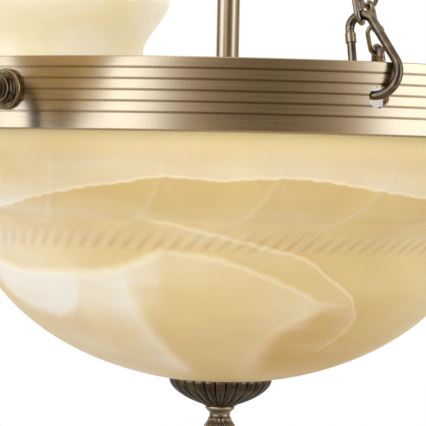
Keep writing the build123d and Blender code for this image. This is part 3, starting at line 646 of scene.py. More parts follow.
# Veins of the bowl's front: azimuth in degrees from the front, height in millimetres from eye level.
# A run goes sideways with a height for each azimuth, a fall goes down with an azimuth for each height.
# The veil is the milky side of a vein: its reach, and whether it lies after (1) or before (-1) the line.
# The amber is the clearer, deeper-coloured side across from the veil, and soft is the length of the ends.
VEINS = [
    {
        "run": [
            (-70, -22), (-41, -14), (-28, -6.6), (-13, 0.2), (-4.3, 4),
            (4.6, 2.5), (17, 4.4), (34, -1), (80, -20),
        ],
        "core": 0.7, "line": 0.42, "veil": 28, "side": 1, "milk": 0.42, "amber": 0.18,
    },
    {
        "run": [
            (-9, -19.3), (-3, -22.7), (7, -28.5), (16, -34.7),
            (23, -39), (31, -51), (38.5, -62), (42, -71),
        ],
        "core": 0.95, "line": 0.33, "veil": 20, "side": -1, "milk": 0.12, "amber": 0.0,
    },
    {
        "fall": [(-68, 41.5), (-75, 43.2), (-83, 42.9), (-92, 40)],
        "core": 1.6, "line": 0.2, "veil": 14, "side": -1, "milk": 0.05, "amber": 0.0,
    },
    {
        "run": [(-6, -37.2), (4.8, -40.8), (14.7, -48.6), (24.7, -58.3), (29, -62.6)],
        "core": 1.4, "line": 0.26, "veil": 34, "side": -1, "milk": 0.3, "amber": 0.0,
    },
    {
        "run": [(24.7, -58.3), (31, -64.5), (38, -65.5)],
        "core": 1.4, "line": 0.24, "veil": 8, "side": -1, "milk": 0.06, "amber": 0.0,
    },
    {
        "fall": [(-65, 33), (-72, 28), (-80, 22.5), (-90, 19.5), (-106, 20)],
        "core": 5.5, "line": 0.18, "veil": 120, "side": -1, "milk": 0.12, "amber": 0.56, "soft": 10.0,
    },
    {
        "run": [
            (-66, -42), (-56.7, -46), (-46, -50.3), (-37, -50.5),
            (-22.4, -49.7), (-16, -46.3), (-11, -41.2), (-7, -37.1),
        ],
        "core": 2.2, "line": 0.42, "veil": 38, "side": -1, "milk": 0.62, "amber": 0.0,
    },
    {
        "run": [(-64, -62.5), (-57, -68.8), (-49, -73.1), (-42.3, -74.9), (-37, -72.5), (-32, -65)],
        "core": 3.2, "line": 0.05, "veil": 26, "side": 1, "milk": 0.32, "amber": 0.5,
    },
    {
        "fall": [(-52, -29), (-58, -30), (-66, -32.5), (-75, -40)],
        "core": 3.0, "line": 0.1, "veil": 42, "side": -1, "milk": 0.25, "amber": 0.0,
    },
    {
        "fall": [(-53, -16.6), (-70, -15.8), (-82, -14.5), (-95, -11.9), (-108, -10)],
        "core": 4.0, "line": 0.2, "veil": 30, "side": -1, "milk": 0.38, "amber": 0.12,
    },
]
VEIN_AZIMUTHS = (-80.0, 90.0)
VEIN_HEIGHTS = (-130.0, 40.0)


def draw_vein(tree, vein, azimuth, height, degree, shake):
    """A vein's reach between its ends, its bright line, its milky side and its amber side."""
    falls = "fall" in vein
    table = sorted(vein["fall"] if falls else vein["run"])
    course = height if falls else azimuth
    start, stop = VEIN_HEIGHTS if falls else VEIN_AZIMUTHS
    low, high = VEIN_AZIMUTHS if falls else VEIN_HEIGHTS
    share = add(tree, "ShaderNodeMapRange", {"Value": course.outputs[0], "From Min": start, "From Max": stop})
    curve = add(tree, "ShaderNodeFloatCurve", {"Value": share.outputs[0]})
    spots = [((along - start) / (stop - start), (across - low) / (high - low)) for along, across in table]
    trace(curve, spots)
    here = add(tree, "ShaderNodeMath", {0: curve.outputs[0], 1: high - low, 2: low}, operation="MULTIPLY_ADD")
    if falls:
        apart = add(tree, "ShaderNodeMath", {0: azimuth.outputs[0], 1: here.outputs[0]}, operation="SUBTRACT")
        gap = add(
            tree,
            "ShaderNodeMath",
            {0: apart.outputs[0], 1: degree.outputs[0], 2: shake.outputs[0]},
            operation="MULTIPLY_ADD",
        )
    else:
        shaken = add(tree, "ShaderNodeMath", {0: height.outputs[0], 1: shake.outputs[0]}, operation="ADD")
        gap = add(tree, "ShaderNodeMath", {0: shaken.outputs[0], 1: here.outputs[0]}, operation="SUBTRACT")
    size = add(tree, "ShaderNodeMath", {0: gap.outputs[0]}, operation="ABSOLUTE")
    bright = add(
        tree,
        "ShaderNodeMapRange",
        {"Value": size.outputs[0], "From Min": 2 * vein["core"], "From Max": 0.0, "To Max": vein["line"]},
        **SOFT_ENDS,
    )
    signed = add(tree, "ShaderNodeMath", {0: gap.outputs[0], 1: vein["side"]}, operation="MULTIPLY")
    step = add(
        tree,
        "ShaderNodeMapRange",
        {"Value": signed.outputs[0], "From Min": -vein["core"], "From Max": vein["core"]},
        **SOFT_ENDS,
    )
    fade = add(
        tree,
        "ShaderNodeMapRange",
        {"Value": signed.outputs[0], "From Min": vein["veil"], "From Max": 0.0, "To Max": vein["milk"]},
        **SOFT_ENDS,
    )
    veil = add(tree, "ShaderNodeMath", {0: step.outputs[0], 1: fade.outputs[0]}, operation="MULTIPLY")
    clear = add(tree, "ShaderNodeMath", {0: 1.0, 1: step.outputs[0]}, operation="SUBTRACT")
    deepen = add(
        tree,
        "ShaderNodeMapRange",
        {"Value": signed.outputs[0], "From Min": -vein["veil"], "From Max": 0.0, "To Max": vein["amber"]},
        **SOFT_ENDS,
    )
    deep = add(tree, "ShaderNodeMath", {0: clear.outputs[0], 1: deepen.outputs[0]}, operation="MULTIPLY")
    soft = vein.get("soft", 3.0)
    first, last = table[0][0], table[-1][0]
    begin = add(
        tree,
        "ShaderNodeMapRange",
        {"Value": course.outputs[0], "From Min": first - soft, "From Max": first + soft},
        **SOFT_ENDS,
    )
    end = add(
        tree,
        "ShaderNodeMapRange",
        {"Value": course.outputs[0], "From Min": last + soft, "From Max": last - soft},
        **SOFT_ENDS,
    )
    span = add(tree, "ShaderNodeMath", {0: begin.outputs[0], 1: end.outputs[0]}, operation="MULTIPLY")
    return span, bright, veil, deep


def glass(name, veins, honey_dark, honey_light, painted_glow_strength, shine):
    """Opal glass with a satin face: milky cream, honey-coloured where it is thin of milk, and pale veins."""
    material, tree, shader, place = surface(name)
    drift = add(
        tree,
        "ShaderNodeTexNoise",
        {"Vector": place, "Scale": 1 / (70 * MM), "Detail": 3.0, "Distortion": 0.8},
    )
    # Smoke drawn out into streaks of about 110 by 24 mm
    streaks = add(
        tree, "ShaderNodeMapping", {"Vector": place, "Rotation": (0.5, 0.35, 0.0), "Scale": (9, 9, 42)}
    )
    smoke = add(
        tree,
        "ShaderNodeTexNoise",
        {"Vector": streaks.outputs[0], "Scale": 1.0, "Detail": 5.0, "Roughness": 0.55, "Distortion": 0.9},
    )
    honey = add(
        tree,
        "ShaderNodeMapRange",
        {"Value": drift.outputs[0], "From Min": 0.32, "From Max": 0.68},
        **SOFT_ENDS,
    )
    base = add(
        tree,
        "ShaderNodeMix",
        {"Factor": honey.outputs[0], "A": colour(honey_dark), "B": colour(honey_light)},
        data_type="RGBA",
    )
    split = add(tree, "ShaderNodeSeparateXYZ", {0: place})
    # Painted light: paler honey just under the band, standing for light glowing through the glass there
    rim = add(
        tree,
        "ShaderNodeMapRange",
        {"Value": split.outputs[2], "From Min": band_low - 17 * MM, "From Max": band_low, "To Max": painted_glow_strength},
        **SOFT_ENDS,
    )
    base = add(
        tree,
        "ShaderNodeMix",
        {"Factor": rim.outputs[0], "A": base.outputs["Result"], "B": colour("#FFE4B2")},
        data_type="RGBA",
    )
    haze = add(
        tree,
        "ShaderNodeMapRange",
        {"Value": smoke.outputs[0], "From Min": 0.42, "From Max": 0.8, "To Max": 0.16},
        **SOFT_ENDS,
    )
    ridge = add(tree, "ShaderNodeAttribute", attribute_name="ridge")
    thick = add(
        tree,
        "ShaderNodeMath",
        {0: ridge.outputs["Fac"], 1: 0.1, 2: haze.outputs[0]},
        operation="MULTIPLY_ADD",
    )
    milk = thick.outputs[0]
    amber = 0.0
    line = 0.0
    around = add(
        tree,
        "ShaderNodeMapRange",
        {"Value": drift.outputs[0], "From Min": 0.5, "From Max": 0.515, "To Min": 1.0, "To Max": 0.0},
    )
    under = add(
        tree,
        "ShaderNodeMapRange",
        {"Value": drift.outputs[0], "From Min": 0.40, "From Max": 0.5, "To Min": 0.0, "To Max": 1.0},
        **SOFT_ENDS,
    )
    contour = add(tree, "ShaderNodeMath", {0: around.outputs[0], 1: under.outputs[0]}, operation="MULTIPLY")
    wide = add(tree, "ShaderNodeMath", {0: contour.outputs[0], 1: 0.18}, operation="MULTIPLY")
    wide_veil = wide.outputs[0]
    if veins:
        turn = turn_from_front(tree, split)
        azimuth = add(tree, "ShaderNodeMath", {0: turn.outputs[0], 1: 180 / math.pi}, operation="MULTIPLY")
        tall = add(tree, "ShaderNodeMath", {0: split.outputs[2], 1: eye_height}, operation="SUBTRACT")
        height = add(tree, "ShaderNodeMath", {0: tall.outputs[0], 1: 1 / MM}, operation="MULTIPLY")
        wobble = add(tree, "ShaderNodeTexNoise", {"Vector": place, "Scale": 1 / (8 * MM), "Detail": 2.0})
        shake = add(
            tree,
            "ShaderNodeMapRange",
            {"Value": wobble.outputs[0], **NOISE_SPAN, "To Min": -0.65, "To Max": 0.65},
        )
        flat = add(tree, "ShaderNodeVectorMath", {0: place, 1: (1, 1, 0)}, operation="MULTIPLY")
        radius = add(tree, "ShaderNodeVectorMath", {0: flat.outputs[0]}, operation="LENGTH")
        degree = add(
            tree, "ShaderNodeMath", {0: radius.outputs["Value"], 1: math.pi / 180 / MM}, operation="MULTIPLY"
        )
        # The drawn veins hold the front, the drifting ones the rest
        front_left = add(
            tree,
            "ShaderNodeMapRange",
            {"Value": azimuth.outputs[0], "From Min": -72.0, "From Max": -56.0},
            **SOFT_ENDS,
        )
        front_right = add(
            tree,
            "ShaderNodeMapRange",
            {"Value": azimuth.outputs[0], "From Min": 78.0, "From Max": 62.0},
            **SOFT_ENDS,
        )
        front = add(
            tree,
            "ShaderNodeMath",
            {0: front_left.outputs[0], 1: front_right.outputs[0]},
            operation="MULTIPLY",
        )
        elsewhere = add(tree, "ShaderNodeMath", {0: 1.0, 1: front.outputs[0]}, operation="SUBTRACT")
        hidden = add(tree, "ShaderNodeMath", {0: wide_veil, 1: elsewhere.outputs[0]}, operation="MULTIPLY")
        wide_veil = hidden.outputs[0]
        # Painted shade: deeper amber between the rope's lobes on their lower side, and deeper amber towards
        # the bottom
        under_rope = add(
            tree,
            "ShaderNodeMapRange",
            {"Value": split.outputs[2], "From Min": rope_height + 2 * MM, "From Max": rope_height - 4 * MM},
            **SOFT_ENDS,
        )
        over_dome = add(
            tree,
            "ShaderNodeMapRange",
            {"Value": split.outputs[2], "From Min": rope_height - 8.5 * MM, "From Max": rope_height - 5 * MM},
            **SOFT_ENDS,
        )
        shadow = add(
            tree, "ShaderNodeMath", {0: under_rope.outputs[0], 1: over_dome.outputs[0]}, operation="MULTIPLY"
        )
        valley = add(tree, "ShaderNodeMath", {0: 1.0, 1: ridge.outputs["Fac"]}, operation="SUBTRACT")
        between = add(
            tree, "ShaderNodeMath", {0: shadow.outputs[0], 1: valley.outputs[0]}, operation="MULTIPLY"
        )
        low_dome = add(
            tree,
            "ShaderNodeMapRange",
            {"Value": height.outputs[0], "From Min": -66.0, "From Max": -104.0, "To Max": 0.42},
            **SOFT_ENDS,
        )
        painted_lobe_shade_and_low_amber = add(
            tree,
            "ShaderNodeMath",
            {0: between.outputs[0], 1: 0.33, 2: low_dome.outputs[0]},
            operation="MULTIPLY_ADD",
        )
        amber = painted_lobe_shade_and_low_amber.outputs[0]
        # Painted light: paler low on the left, the side the light falls from
        painted_light_left = add(
            tree,
            "ShaderNodeMapRange",
            {"Value": azimuth.outputs[0], "From Min": -6.0, "From Max": -46.0, "To Max": 0.36},
            **SOFT_ENDS,
        )
        lower = add(
            tree,
            "ShaderNodeMapRange",
            {"Value": height.outputs[0], "From Min": 0.0, "From Max": -16.0},
            **SOFT_ENDS,
        )
        painted_light_low_left = add(
            tree, "ShaderNodeMath", {0: painted_light_left.outputs[0], 1: lower.outputs[0]}, operation="MULTIPLY"
        )
        painted_light_milk = add(
            tree,
            "ShaderNodeMath",
            {0: painted_light_low_left.outputs[0], 1: front.outputs[0], 2: milk},
            operation="MULTIPLY_ADD",
        )
        milk = painted_light_milk.outputs[0]
        for vein in veins:
            span, bright, veil, deep = draw_vein(tree, vein, azimuth, height, degree, shake)
            shown = add(
                tree, "ShaderNodeMath", {0: span.outputs[0], 1: front.outputs[0]}, operation="MULTIPLY"
            )
            added = add(
                tree,
                "ShaderNodeMath",
                {0: veil.outputs[0], 1: shown.outputs[0], 2: milk},
                operation="MULTIPLY_ADD",
            )
            milk = added.outputs[0]
            deeper = add(
                tree,
                "ShaderNodeMath",
                {0: deep.outputs[0], 1: shown.outputs[0], 2: amber},
                operation="MULTIPLY_ADD",
            )
            amber = deeper.outputs[0]
            lit = add(
                tree, "ShaderNodeMath", {0: bright.outputs[0], 1: shown.outputs[0]}, operation="MULTIPLY"
            )
            most = add(tree, "ShaderNodeMath", {0: line, 1: lit.outputs[0]}, operation="MAXIMUM")
            line = most.outputs[0]
    streaky = add(
        tree, "ShaderNodeMapRange", {"Value": smoke.outputs[0], **NOISE_SPAN, "To Min": 0.7, "To Max": 1.25}
    )
    drawn = add(tree, "ShaderNodeMath", {0: milk, 1: streaky.outputs[0]}, operation="MULTIPLY")
    total = add(tree, "ShaderNodeMath", {0: drawn.outputs[0], 1: wide_veil}, operation="ADD", use_clamp=True)
    ambered = add(
        tree,
        "ShaderNodeMix",
        {"Factor": amber, "A": base.outputs["Result"], "B": colour("#C6A154")},
        data_type="RGBA",
    )
    milky = add(
        tree,
        "ShaderNodeMix",
        {"Factor": total.outputs[0], "A": ambered.outputs["Result"], "B": colour("#ECE5DC")},
        data_type="RGBA",
    )
    final = milky.outputs["Result"]
    if veins:
        lined = add(
            tree, "ShaderNodeMix", {"Factor": line, "A": final, "B": colour("#FBF3DF")}, data_type="RGBA"
        )
        final = lined.outputs["Result"]
    ripple = add(tree, "ShaderNodeTexNoise", {"Vector": place, "Scale": 1 / (24 * MM), "Detail": 1.0})
    bump = add(tree, "ShaderNodeBump", {"Strength": 0.12, "Distance": 1.5 * MM, "Height": ripple.outputs[0]})
    sheen = add(
        tree, "ShaderNodeMapRange", {"Value": smoke.outputs[0], **NOISE_SPAN, "To Min": 0.5, "To Max": 0.58}
    )
    set_shader(
        tree,
        shader,
        Base_Color=final,
        Roughness=sheen.outputs[0],
        IOR=1.46,
        Specular_IOR_Level=shine,
        Normal=bump.outputs[0],
        Subsurface_Weight=0.8,
        Subsurface_Radius=(1.0, 0.9, 0.72),
        Subsurface_Scale=0.012,
    )
    return material


band_brass = brass("brushed_brass_band", "#AF8F5B", "#A28250", rough=0.28, marks=1.0, drawn=0.6, grooved=True)
turned_brass = brass("brushed_brass_turned", "#A28356", "#97784C", rough=0.26, marks=0.15, drawn=0.0)
link_bronze = bronze("bronze_link_rubbed", "#5C4C3B", "#88745C", rough=0.3)
hook_bronze = bronze("bronze_hook_patina", "#3D3227", "#907B5E", rough=0.22)
dark_bronze = bronze("bronze_cast_dark", "#2A2219", "#6A573E", rough=0.36)
# Rosette bronze: bright worn colour on the crests, partly a painted highlight on the rim ring
rosette_bronze_painted_highlight = bronze("bronze_rosette_worn_and_painted_highlight", "#2E2820", "#A48E6A", rough=0.2)
knob_bronze = bronze("bronze_knob_rubbed", "#746248", "#B39C78", rough=0.34)
bowl_glass = glass("opal_glass_bowl", VEINS, "#D7C18B", "#DFCC98", painted_glow_strength=1.0, shine=0.4)
shade_glass = glass("opal_glass_shade", [], "#E4D7B9", "#ECE4D5", painted_glow_strength=0.0, shine=0.12)
zinc = plain_grain("zinc_plated_steel", "#B9BAB8", "#A3A4A2", grain=0.8 * MM, rough=0.38, metallic=1.0)
rubber = plain_grain("gasket_rubber_black", "#2B2A28", "#1F1E1D", grain=0.6 * MM, rough=0.75)
ivory = plain_grain("moulded_ivory_lampholder", "#EDE4CE", "#E2D8C0", grain=0.7 * MM, rough=0.42)
white_lacquer = plain_grain("white_lacquer_inside", "#D3D6D8", "#C9CCCE", grain=0.9 * MM, rough=0.45)
terminal = plain_grain("moulded_terminal_block", "#E4E2DA", "#D6D3C9", grain=0.7 * MM, rough=0.5)

FINISHES = {
    "antique_brass": turned_brass,
    "dark_bronze": hook_bronze,
    "marbled_glass": shade_glass,
    "zinc_steel": zinc,
    "gasket_rubber": rubber,
    "lampholder_shell": ivory,
    "terminal_plastic": terminal,
}
for part in frame["record"]["subparts"]:
    obj = nodes[part["node"]]
    finish = FINISHES[part["material_slot"]]
    if part["node"].startswith(("arm_tube", "shade_cup")):
        finish = dark_bronze
    obj.data.materials.clear()
    obj.data.materials.append(finish)

# Glass bowl: a shell with swags on its shoulder and a twisted rope round its waist
cove_centre = (neck_radius - cove_radius, cove_height)
dome_start = math.degrees(math.acos(seat_radius / dome_radius))
dome_end = math.degrees(math.asin((dome_height - rope_height + 9.5 * MM) / dome_depth))
outside = [(bowl_hole, dome_height - dome_depth)]
outside += arc((0, dome_height), dome_radius, dome_depth, -dome_start, -dome_end, 27)
cove_face = arc(cove_centre, cove_radius, cove_radius, -cove_turn, 0, 36)
outside += waist(outside[-2:], cove_face[:2], rope_swell, 31)
outside += cove_face
outside += [(neck_radius, rim_low), (rim_radius, rim_low), (rim_radius, rim_top)]
neck_inside = neck_radius - glass_wall
cove_inside = cove_radius - glass_wall
inside = [(neck_inside, rim_top)]
inside += arc(cove_centre, cove_inside, cove_inside, 0, -cove_turn, 6)
inside += arc((0, dome_height), dome_radius - glass_wall, dome_depth - glass_wall, -8, -84, 10)
inside += [(bowl_hole, dome_height - dome_depth + glass_wall)]
first_inside = len(outside)
inside_rows = range(first_inside, first_inside + len(inside))
shell = ring_mesh("bowl_shell", outside + inside, segments=832, inside=inside_rows)
draped = grow(
    "glass_bowl_draped",
    swag_tree(),
    shell,
    Count=18.0,
    Start=math.radians(15.5 - 90),
    Knot=eye_height + 4.2 * MM,
    Drop=26 * MM,
    Ribbon=16 * MM,
    Width=3.4 * MM,
    Span=61 * MM,
    Relief=0.55 * MM,
    Finish=bowl_glass,
)
gadroons = gadroon_tree()
bowl = grow(
    "glass_bowl_shell",
    gadroons,
    draped.data,
    Count=104.0,
    Slant=112.0,
    Depth=0.45 * MM,
    Round=1.4,
    Low=rope_height - 9 * MM,
    High=rope_height + 4.5 * MM,
    Soft=3.5 * MM,
    Finish=bowl_glass,
)
bpy.data.objects.remove(draped)
smooth(bowl.data, crease=60)
finish_piece(bowl, "chandelier", ["glass_bowl"])

# Band: five square-cut grooves, holes for the hooks and arms
section = arc((band_radius - band_edge, band_low + band_edge), band_edge, band_edge, -90, -4, 8)
section += [(band_radius, band_low + band_edge)]
half = groove_width / 2
floor_half = half - groove_draft
for groove in range(groove_count):
    middle = groove_first + groove * groove_pitch
    for rise, sink in ((-half, 0), (-floor_half, 1), (floor_half, 1), (half, 0)):
        section.append((band_radius - sink * groove_depth, middle + rise))
corner_height = band_top - band_corner
section += arc((band_radius - band_corner, corner_height), band_corner, band_corner, 0, 90, 5)
section += arc((band_radius - band_wall + band_corner, corner_height), band_corner, band_corner, 90, 180, 5)
section += [
    (band_radius - band_wall, band_low + lip_thickness),
    (lip_inner, band_low + lip_thickness),
    (lip_inner, band_low),
]
band = piece("band_ribbed", ring_mesh("band_ring", section, segments=432), band_brass)
drills = bmesh.new()
holes = [(angle, hook_hole, hook_hole_height) for angle in CHAIN_ANGLES.values()]
holes += [(angle, arm_hole, arm_hole_height) for angle in ARM_ANGLES.values()]
for angle, radius, height in holes:
    aim = Matrix.Rotation(math.radians(angle), 4, "Z") @ Matrix.Translation((band_radius, 0, height))
    lay = aim @ Matrix.Rotation(math.pi / 2, 4, "Y")
    bmesh.ops.create_cone(
        drills, cap_ends=True, segments=48, radius1=radius, radius2=radius, depth=10 * MM, matrix=lay
    )
drill = piece("band_drills", shape_mesh("band_drills", drills))
cut = band.modifiers.new("holes", "BOOLEAN")
cut.object = drill
cut.operation = "DIFFERENCE"
cut.solver = "EXACT"
drilled = plain_copy(band)
band.modifiers.clear()
band.data = drilled
bpy.data.objects.remove(drill)
smooth(band.data, crease=28)
band.data.materials.append(white_lacquer)
for face in band.data.polygons:
    inwards = face.normal.x * face.center.x + face.normal.y * face.center.y < -0.5 * band_radius
    face.material_index = int(inwards and face.center.z > band_low + lip_thickness)
finish_piece(band, "chandelier", ["band"])

# Finial: a gadrooned dish under the bowl and a lobed knob
dish_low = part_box("finial_dish")[0][2]
dish_radius = 30.7 * MM
dish_foot = 10.1 * MM
rod_hole = 4.1 * MM
dish_rim = dome_height - dome_depth * math.sqrt(1 - (dish_radius / dome_radius) ** 2)
dish_drop = dish_rim - (dish_low + 0.6 * MM)
dish_section = [(rod_hole, dish_low), (dish_foot - 0.3 * MM, dish_low), (dish_foot, dish_low + 0.3 * MM)]
for turn in np.radians(np.linspace(90, 4, 40)):
    taper = (dish_radius - dish_foot) * math.cos(turn) ** 1.8
    dish_section.append((dish_foot + taper, dish_rim - dish_drop * math.sin(turn)))
dish_section += [(dish_radius - 0.3 * MM, dish_rim + 0.2 * MM), (dish_radius - 1.6 * MM, dish_rim + 0.1 * MM)]
inner_from = len(dish_section) - 1
for turn in np.radians(np.linspace(0, 80, 10)):
    taper = (dish_radius - dish_foot - 3 * MM) * math.cos(turn) ** 1.9
    dish_section.append((dish_foot + taper, dish_rim - 1 * MM - (dish_drop - 4 * MM) * math.sin(turn)))
dish_section += [(rod_hole, dish_low + 3 * MM)]
dish_mesh = ring_mesh("dish_turned", dish_section, segments=448, inside=range(inner_from, len(dish_section)))
dish = grow(
    "finial_dish_gadrooned",
    gadroons,
    dish_mesh,
    Count=28.0,
    Slant=0.0,
    Depth=1.5 * MM,
    Round=0.5,
    Low=dish_low + 0.7 * MM,
    High=dish_rim + 0.6 * MM,
    Soft=1.2 * MM,
    Finish=dark_bronze,
)
smooth(dish.data, crease=45)
finish_piece(dish, "chandelier", ["finial_dish"])

knob_low, knob_top = (corner[2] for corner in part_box("finial_knob"))
collar_foot = knob_top - 2.4 * MM
neck_middle = collar_foot - 3.4 * MM
neck_low = collar_foot - 6.8 * MM
knob_middle = neck_low + 3.5 * MM - 13 * MM
knob_section = [(0.05 * MM, knob_top), (8.0 * MM, knob_top)]
knob_section += arc((7.6 * MM, knob_top - 1.2 * MM), 1.2 * MM, 1.2 * MM, 90, -80, 9)
knob_section += arc((9.4 * MM, neck_middle + 0.4 * MM), 3.4 * MM, 3.0 * MM, 120, 225, 12)
knob_section += arc((0, knob_middle), 10.8 * MM, 13 * MM, 48, -75, 44)
knob_section += arc((0, knob_low + 3 * MM), 3 * MM, 3 * MM, 10, -89, 12)
knob_mesh = ring_mesh("knob_turned", knob_section, segments=288, inside=(0,))
knob = grow(
    "finial_knob_lobed",
    gadroons,
    knob_mesh,
    Count=16.0,
    Slant=0.0,
    Depth=1.4 * MM,
    Round=0.5,
    Low=knob_middle - 12.4 * MM,
    High=neck_low + 2.0 * MM,
    Soft=3 * MM,
    Finish=knob_bronze,
)
smooth(knob.data, crease=45)
finish_piece(knob, "chandelier", ["finial_knob"])

# Rosettes: a rounded flange on the band, a neck and a rolled rim round the arm, whose crest is drawn bright,
# partly as a painted highlight
rosette_section = [(arm_hole, -1.5 * MM), (11 * MM, -1.5 * MM)]
rosette_section += arc((9.2 * MM, 1.6 * MM), 1.9 * MM, 1.9 * MM, -30, 90, 9)
rosette_section += arc((9.6 * MM, 6.2 * MM), 2.4 * MM, 2.6 * MM, 258, 180, 10)
rosette_section += arc((6.7 * MM, 7.6 * MM), 1.0 * MM, 1.0 * MM, -60, 120, 13)
rosette_section += [(5.9 * MM, 8.7 * MM), (5.75 * MM, 9 * MM), (arm_hole, 9 * MM)]
for place, angle in ARM_ANGLES.items():
    mesh = ring_mesh("rosette", rosette_section, segments=96)
    aim = Matrix.Rotation(math.radians(angle), 4, "Z") @ Matrix.Translation((band_radius, 0, arm_hole_height))
    mesh.transform(aim @ Matrix.Rotation(math.pi / 2, 4, "Y"))
    smooth(mesh, crease=35)
    rosette = piece("arm_rosette_turned_" + place, mesh, rosette_bronze_painted_highlight)
    finish_piece(rosette, "chandelier", ["arm_rosette_" + place])

# Shades: blown bells with a rounded rim
cup_floor = band_low + 2 * MM
shade_reach = 300 * MM
shade_wall = 3.5 * MM
shade_neck = 21 * MM
shade_belly = 41 * MM
shade_waist = 62 * MM
shade_flare = 18 * MM
shade_rim = 80 * MM
waist_rise = cup_floor + 61.4 * MM
lip_rise = cup_floor + 98.5 * MM
shade_top = cup_floor + 113 * MM
neck_top = cup_floor + 6 * MM


def bell(inset):
    """One face of the bell's wall, from the neck up to the rim."""
    low = neck_top + inset
    points = [(shade_neck - inset, cup_floor + inset)]
    points += arc((shade_neck - inset, waist_rise), shade_belly, waist_rise - low, -90, -1, 34)
    for share in np.linspace(0, 1, 26):
        flare = shade_flare * (share * share * (3 - 2 * share))
        points.append((shade_waist - inset + flare, waist_rise + share * (lip_rise - waist_rise)))
    points.append((shade_rim - inset, shade_top))
    return points


rim_centre = (shade_rim - shade_wall / 2, shade_top)
shade_section = bell(0) + arc(rim_centre, shade_wall / 2, shade_wall / 2, 8, 172, 11) + bell(shade_wall)[::-1]
for place, angle in ARM_ANGLES.items():
    mesh = ring_mesh("shade_bell", shade_section, segments=200)
    mesh.transform(Matrix.Rotation(math.radians(angle), 4, "Z") @ Matrix.Translation((shade_reach, 0, 0)))
    smooth(mesh, crease=45)
    shade = piece("shade_bell_" + place, mesh, shade_glass)
    finish_piece(shade, "chandelier", ["shade_" + place])


# Chains: oval wire links, each in the place of its solid
def link_places(node):
    """Centre, turn and sizes of every link of a chain's solids."""
    shape = bmesh.new()
    shape.from_mesh(nodes[node].data)
    bmesh.ops.remove_doubles(shape, verts=shape.verts, dist=0.001 * MM)
    waiting = set(shape.verts)
    places = []
    # In the order of the solids' points, so that each run gives the same mesh
    for start in shape.verts:
        if start not in waiting:
            continue
        waiting.remove(start)
        link = [start]
        for vert in link:
            for edge in vert.link_edges:
                other = edge.other_vert(vert)
                if other in waiting:
                    waiting.remove(other)
                    link.append(other)
        points = np.array([vert.co for vert in link])
        _, _, axes = np.linalg.svd(points - points.mean(axis=0), full_matrices=False)
        spread = points @ axes.T
        middle = axes.T @ ((spread.min(axis=0) + spread.max(axis=0)) / 2)
        turn = Matrix((axes[1], axes[0], np.cross(axes[1], axes[0]))).transposed()
        places.append((middle, turn.to_euler(), spread.max(axis=0) - spread.min(axis=0)))
    shape.free()
    return places


chains = chain_tree()
for place in CHAIN_ANGLES:
    links = link_places("chain_" + place)
    spots = bpy.data.meshes.new("chain_spots")
    spots.from_pydata([tuple(link[0]) for link in links], [], [])
    facing = spots.attributes.new("facing", "FLOAT_VECTOR", "POINT")
    facing.data.foreach_set("vector", [value for link in links for value in link[1]])
    length, breadth, wire = links[0][2]
    chain = grow(
        "chain_links_" + place,
        chains,
        spots,
        Length=length - wire,
        Breadth=breadth - wire,
        Wire=wire / 2,
        Finish=link_bronze,
    )
    outward(chain.data)
    chain.data.shade_smooth()
    finish_piece(chain, "chandelier", ["chain_" + place])

# Floor, well below the light, pale enough to fade into the background
floor_drop = 0.30
floor_radius = 2.6
floor_shape = bmesh.new()
bmesh.ops.create_circle(floor_shape, cap_ends=True, segments=96, radius=floor_radius)
bmesh.ops.translate(floor_shape, verts=floor_shape.verts, vec=(0, 0, cad_box[0][2] - floor_drop))
floor_material, tree, shader, place = surface("pale_floor")
speckle = add(tree, "ShaderNodeTexNoise", {"Vector": place, "Scale": 1 / (25 * MM)})
floor_tone = add(
    tree,
    "ShaderNodeMix",
    {"Factor": speckle.outputs[0], "A": colour("#BDBBB8"), "B": colour("#C1BFBC")},
    data_type="RGBA",
)
set_shader(tree, shader, Base_Color=floor_tone.outputs["Result"], Roughness=0.9, Specular_IOR_Level=0.1)
path = add(tree, "ShaderNodeLightPath")
lift = add(tree, "ShaderNodeMath", {0: path.outputs["Is Camera Ray"], 1: 0.5}, operation="MULTIPLY")
glow = add(tree, "ShaderNodeEmission", {"Color": (1, 1, 1, 1), "Strength": lift.outputs[0]})
both = add(tree, "ShaderNodeAddShader", {0: shader.outputs[0], 1: glow.outputs[0]})
tree.links.new(both.outputs[0], tree.nodes["Material Output"].inputs["Surface"])
floor = piece("floor", shape_mesh("floor", floor_shape), floor_material)

# Studio: a white surround, a little brighter as light than as background
ambient_strength = 1.2
scene = bpy.context.scene
world = bpy.data.worlds.new("studio")
scene.world = world
world.use_nodes = True
sky = world.node_tree
sky.nodes.clear()
rays = add(sky, "ShaderNodeLightPath")
mirror = add(
    sky,
    "ShaderNodeMath",
    {0: rays.outputs["Is Glossy Ray"], 1: rays.outputs["Is Transmission Ray"]},
    operation="MAXIMUM",
)
direct = add(
    sky, "ShaderNodeMath", {0: rays.outputs["Is Camera Ray"], 1: mirror.outputs[0]}, operation="MAXIMUM"
)
level = add(
    sky, "ShaderNodeMapRange", {"Value": direct.outputs[0], "To Min": ambient_strength, "To Max": 1.0}
)
background = add(sky, "ShaderNodeBackground", {"Color": (1, 1, 1, 1), "Strength": level.outputs[0]})
add(sky, "ShaderNodeOutputWorld", {"Surface": background.outputs[0]})


def around_object(azimuth, distance, height):
    """A place seen from the axis at an azimuth from the camera's side, in degrees."""
    turn = camera_azimuth + math.radians(azimuth)
    return Vector((distance * math.sin(turn), -distance * math.cos(turn), height))


def soft_box(name, azimuth, distance, height, width, tall, power):
    lamp = bpy.data.lights.new(name, "AREA")
    lamp.shape = "RECTANGLE"
    lamp.size = width
    lamp.size_y = tall
    lamp.energy = power
    box = bpy.data.objects.new(name, lamp)
    box.location = around_object(azimuth, distance, height)
    aim = Vector((0, 0, eye_height)) - box.location
    box.rotation_euler = aim.to_track_quat("-Z", "Y").to_euler()
    scene.collection.objects.link(box)
    return box


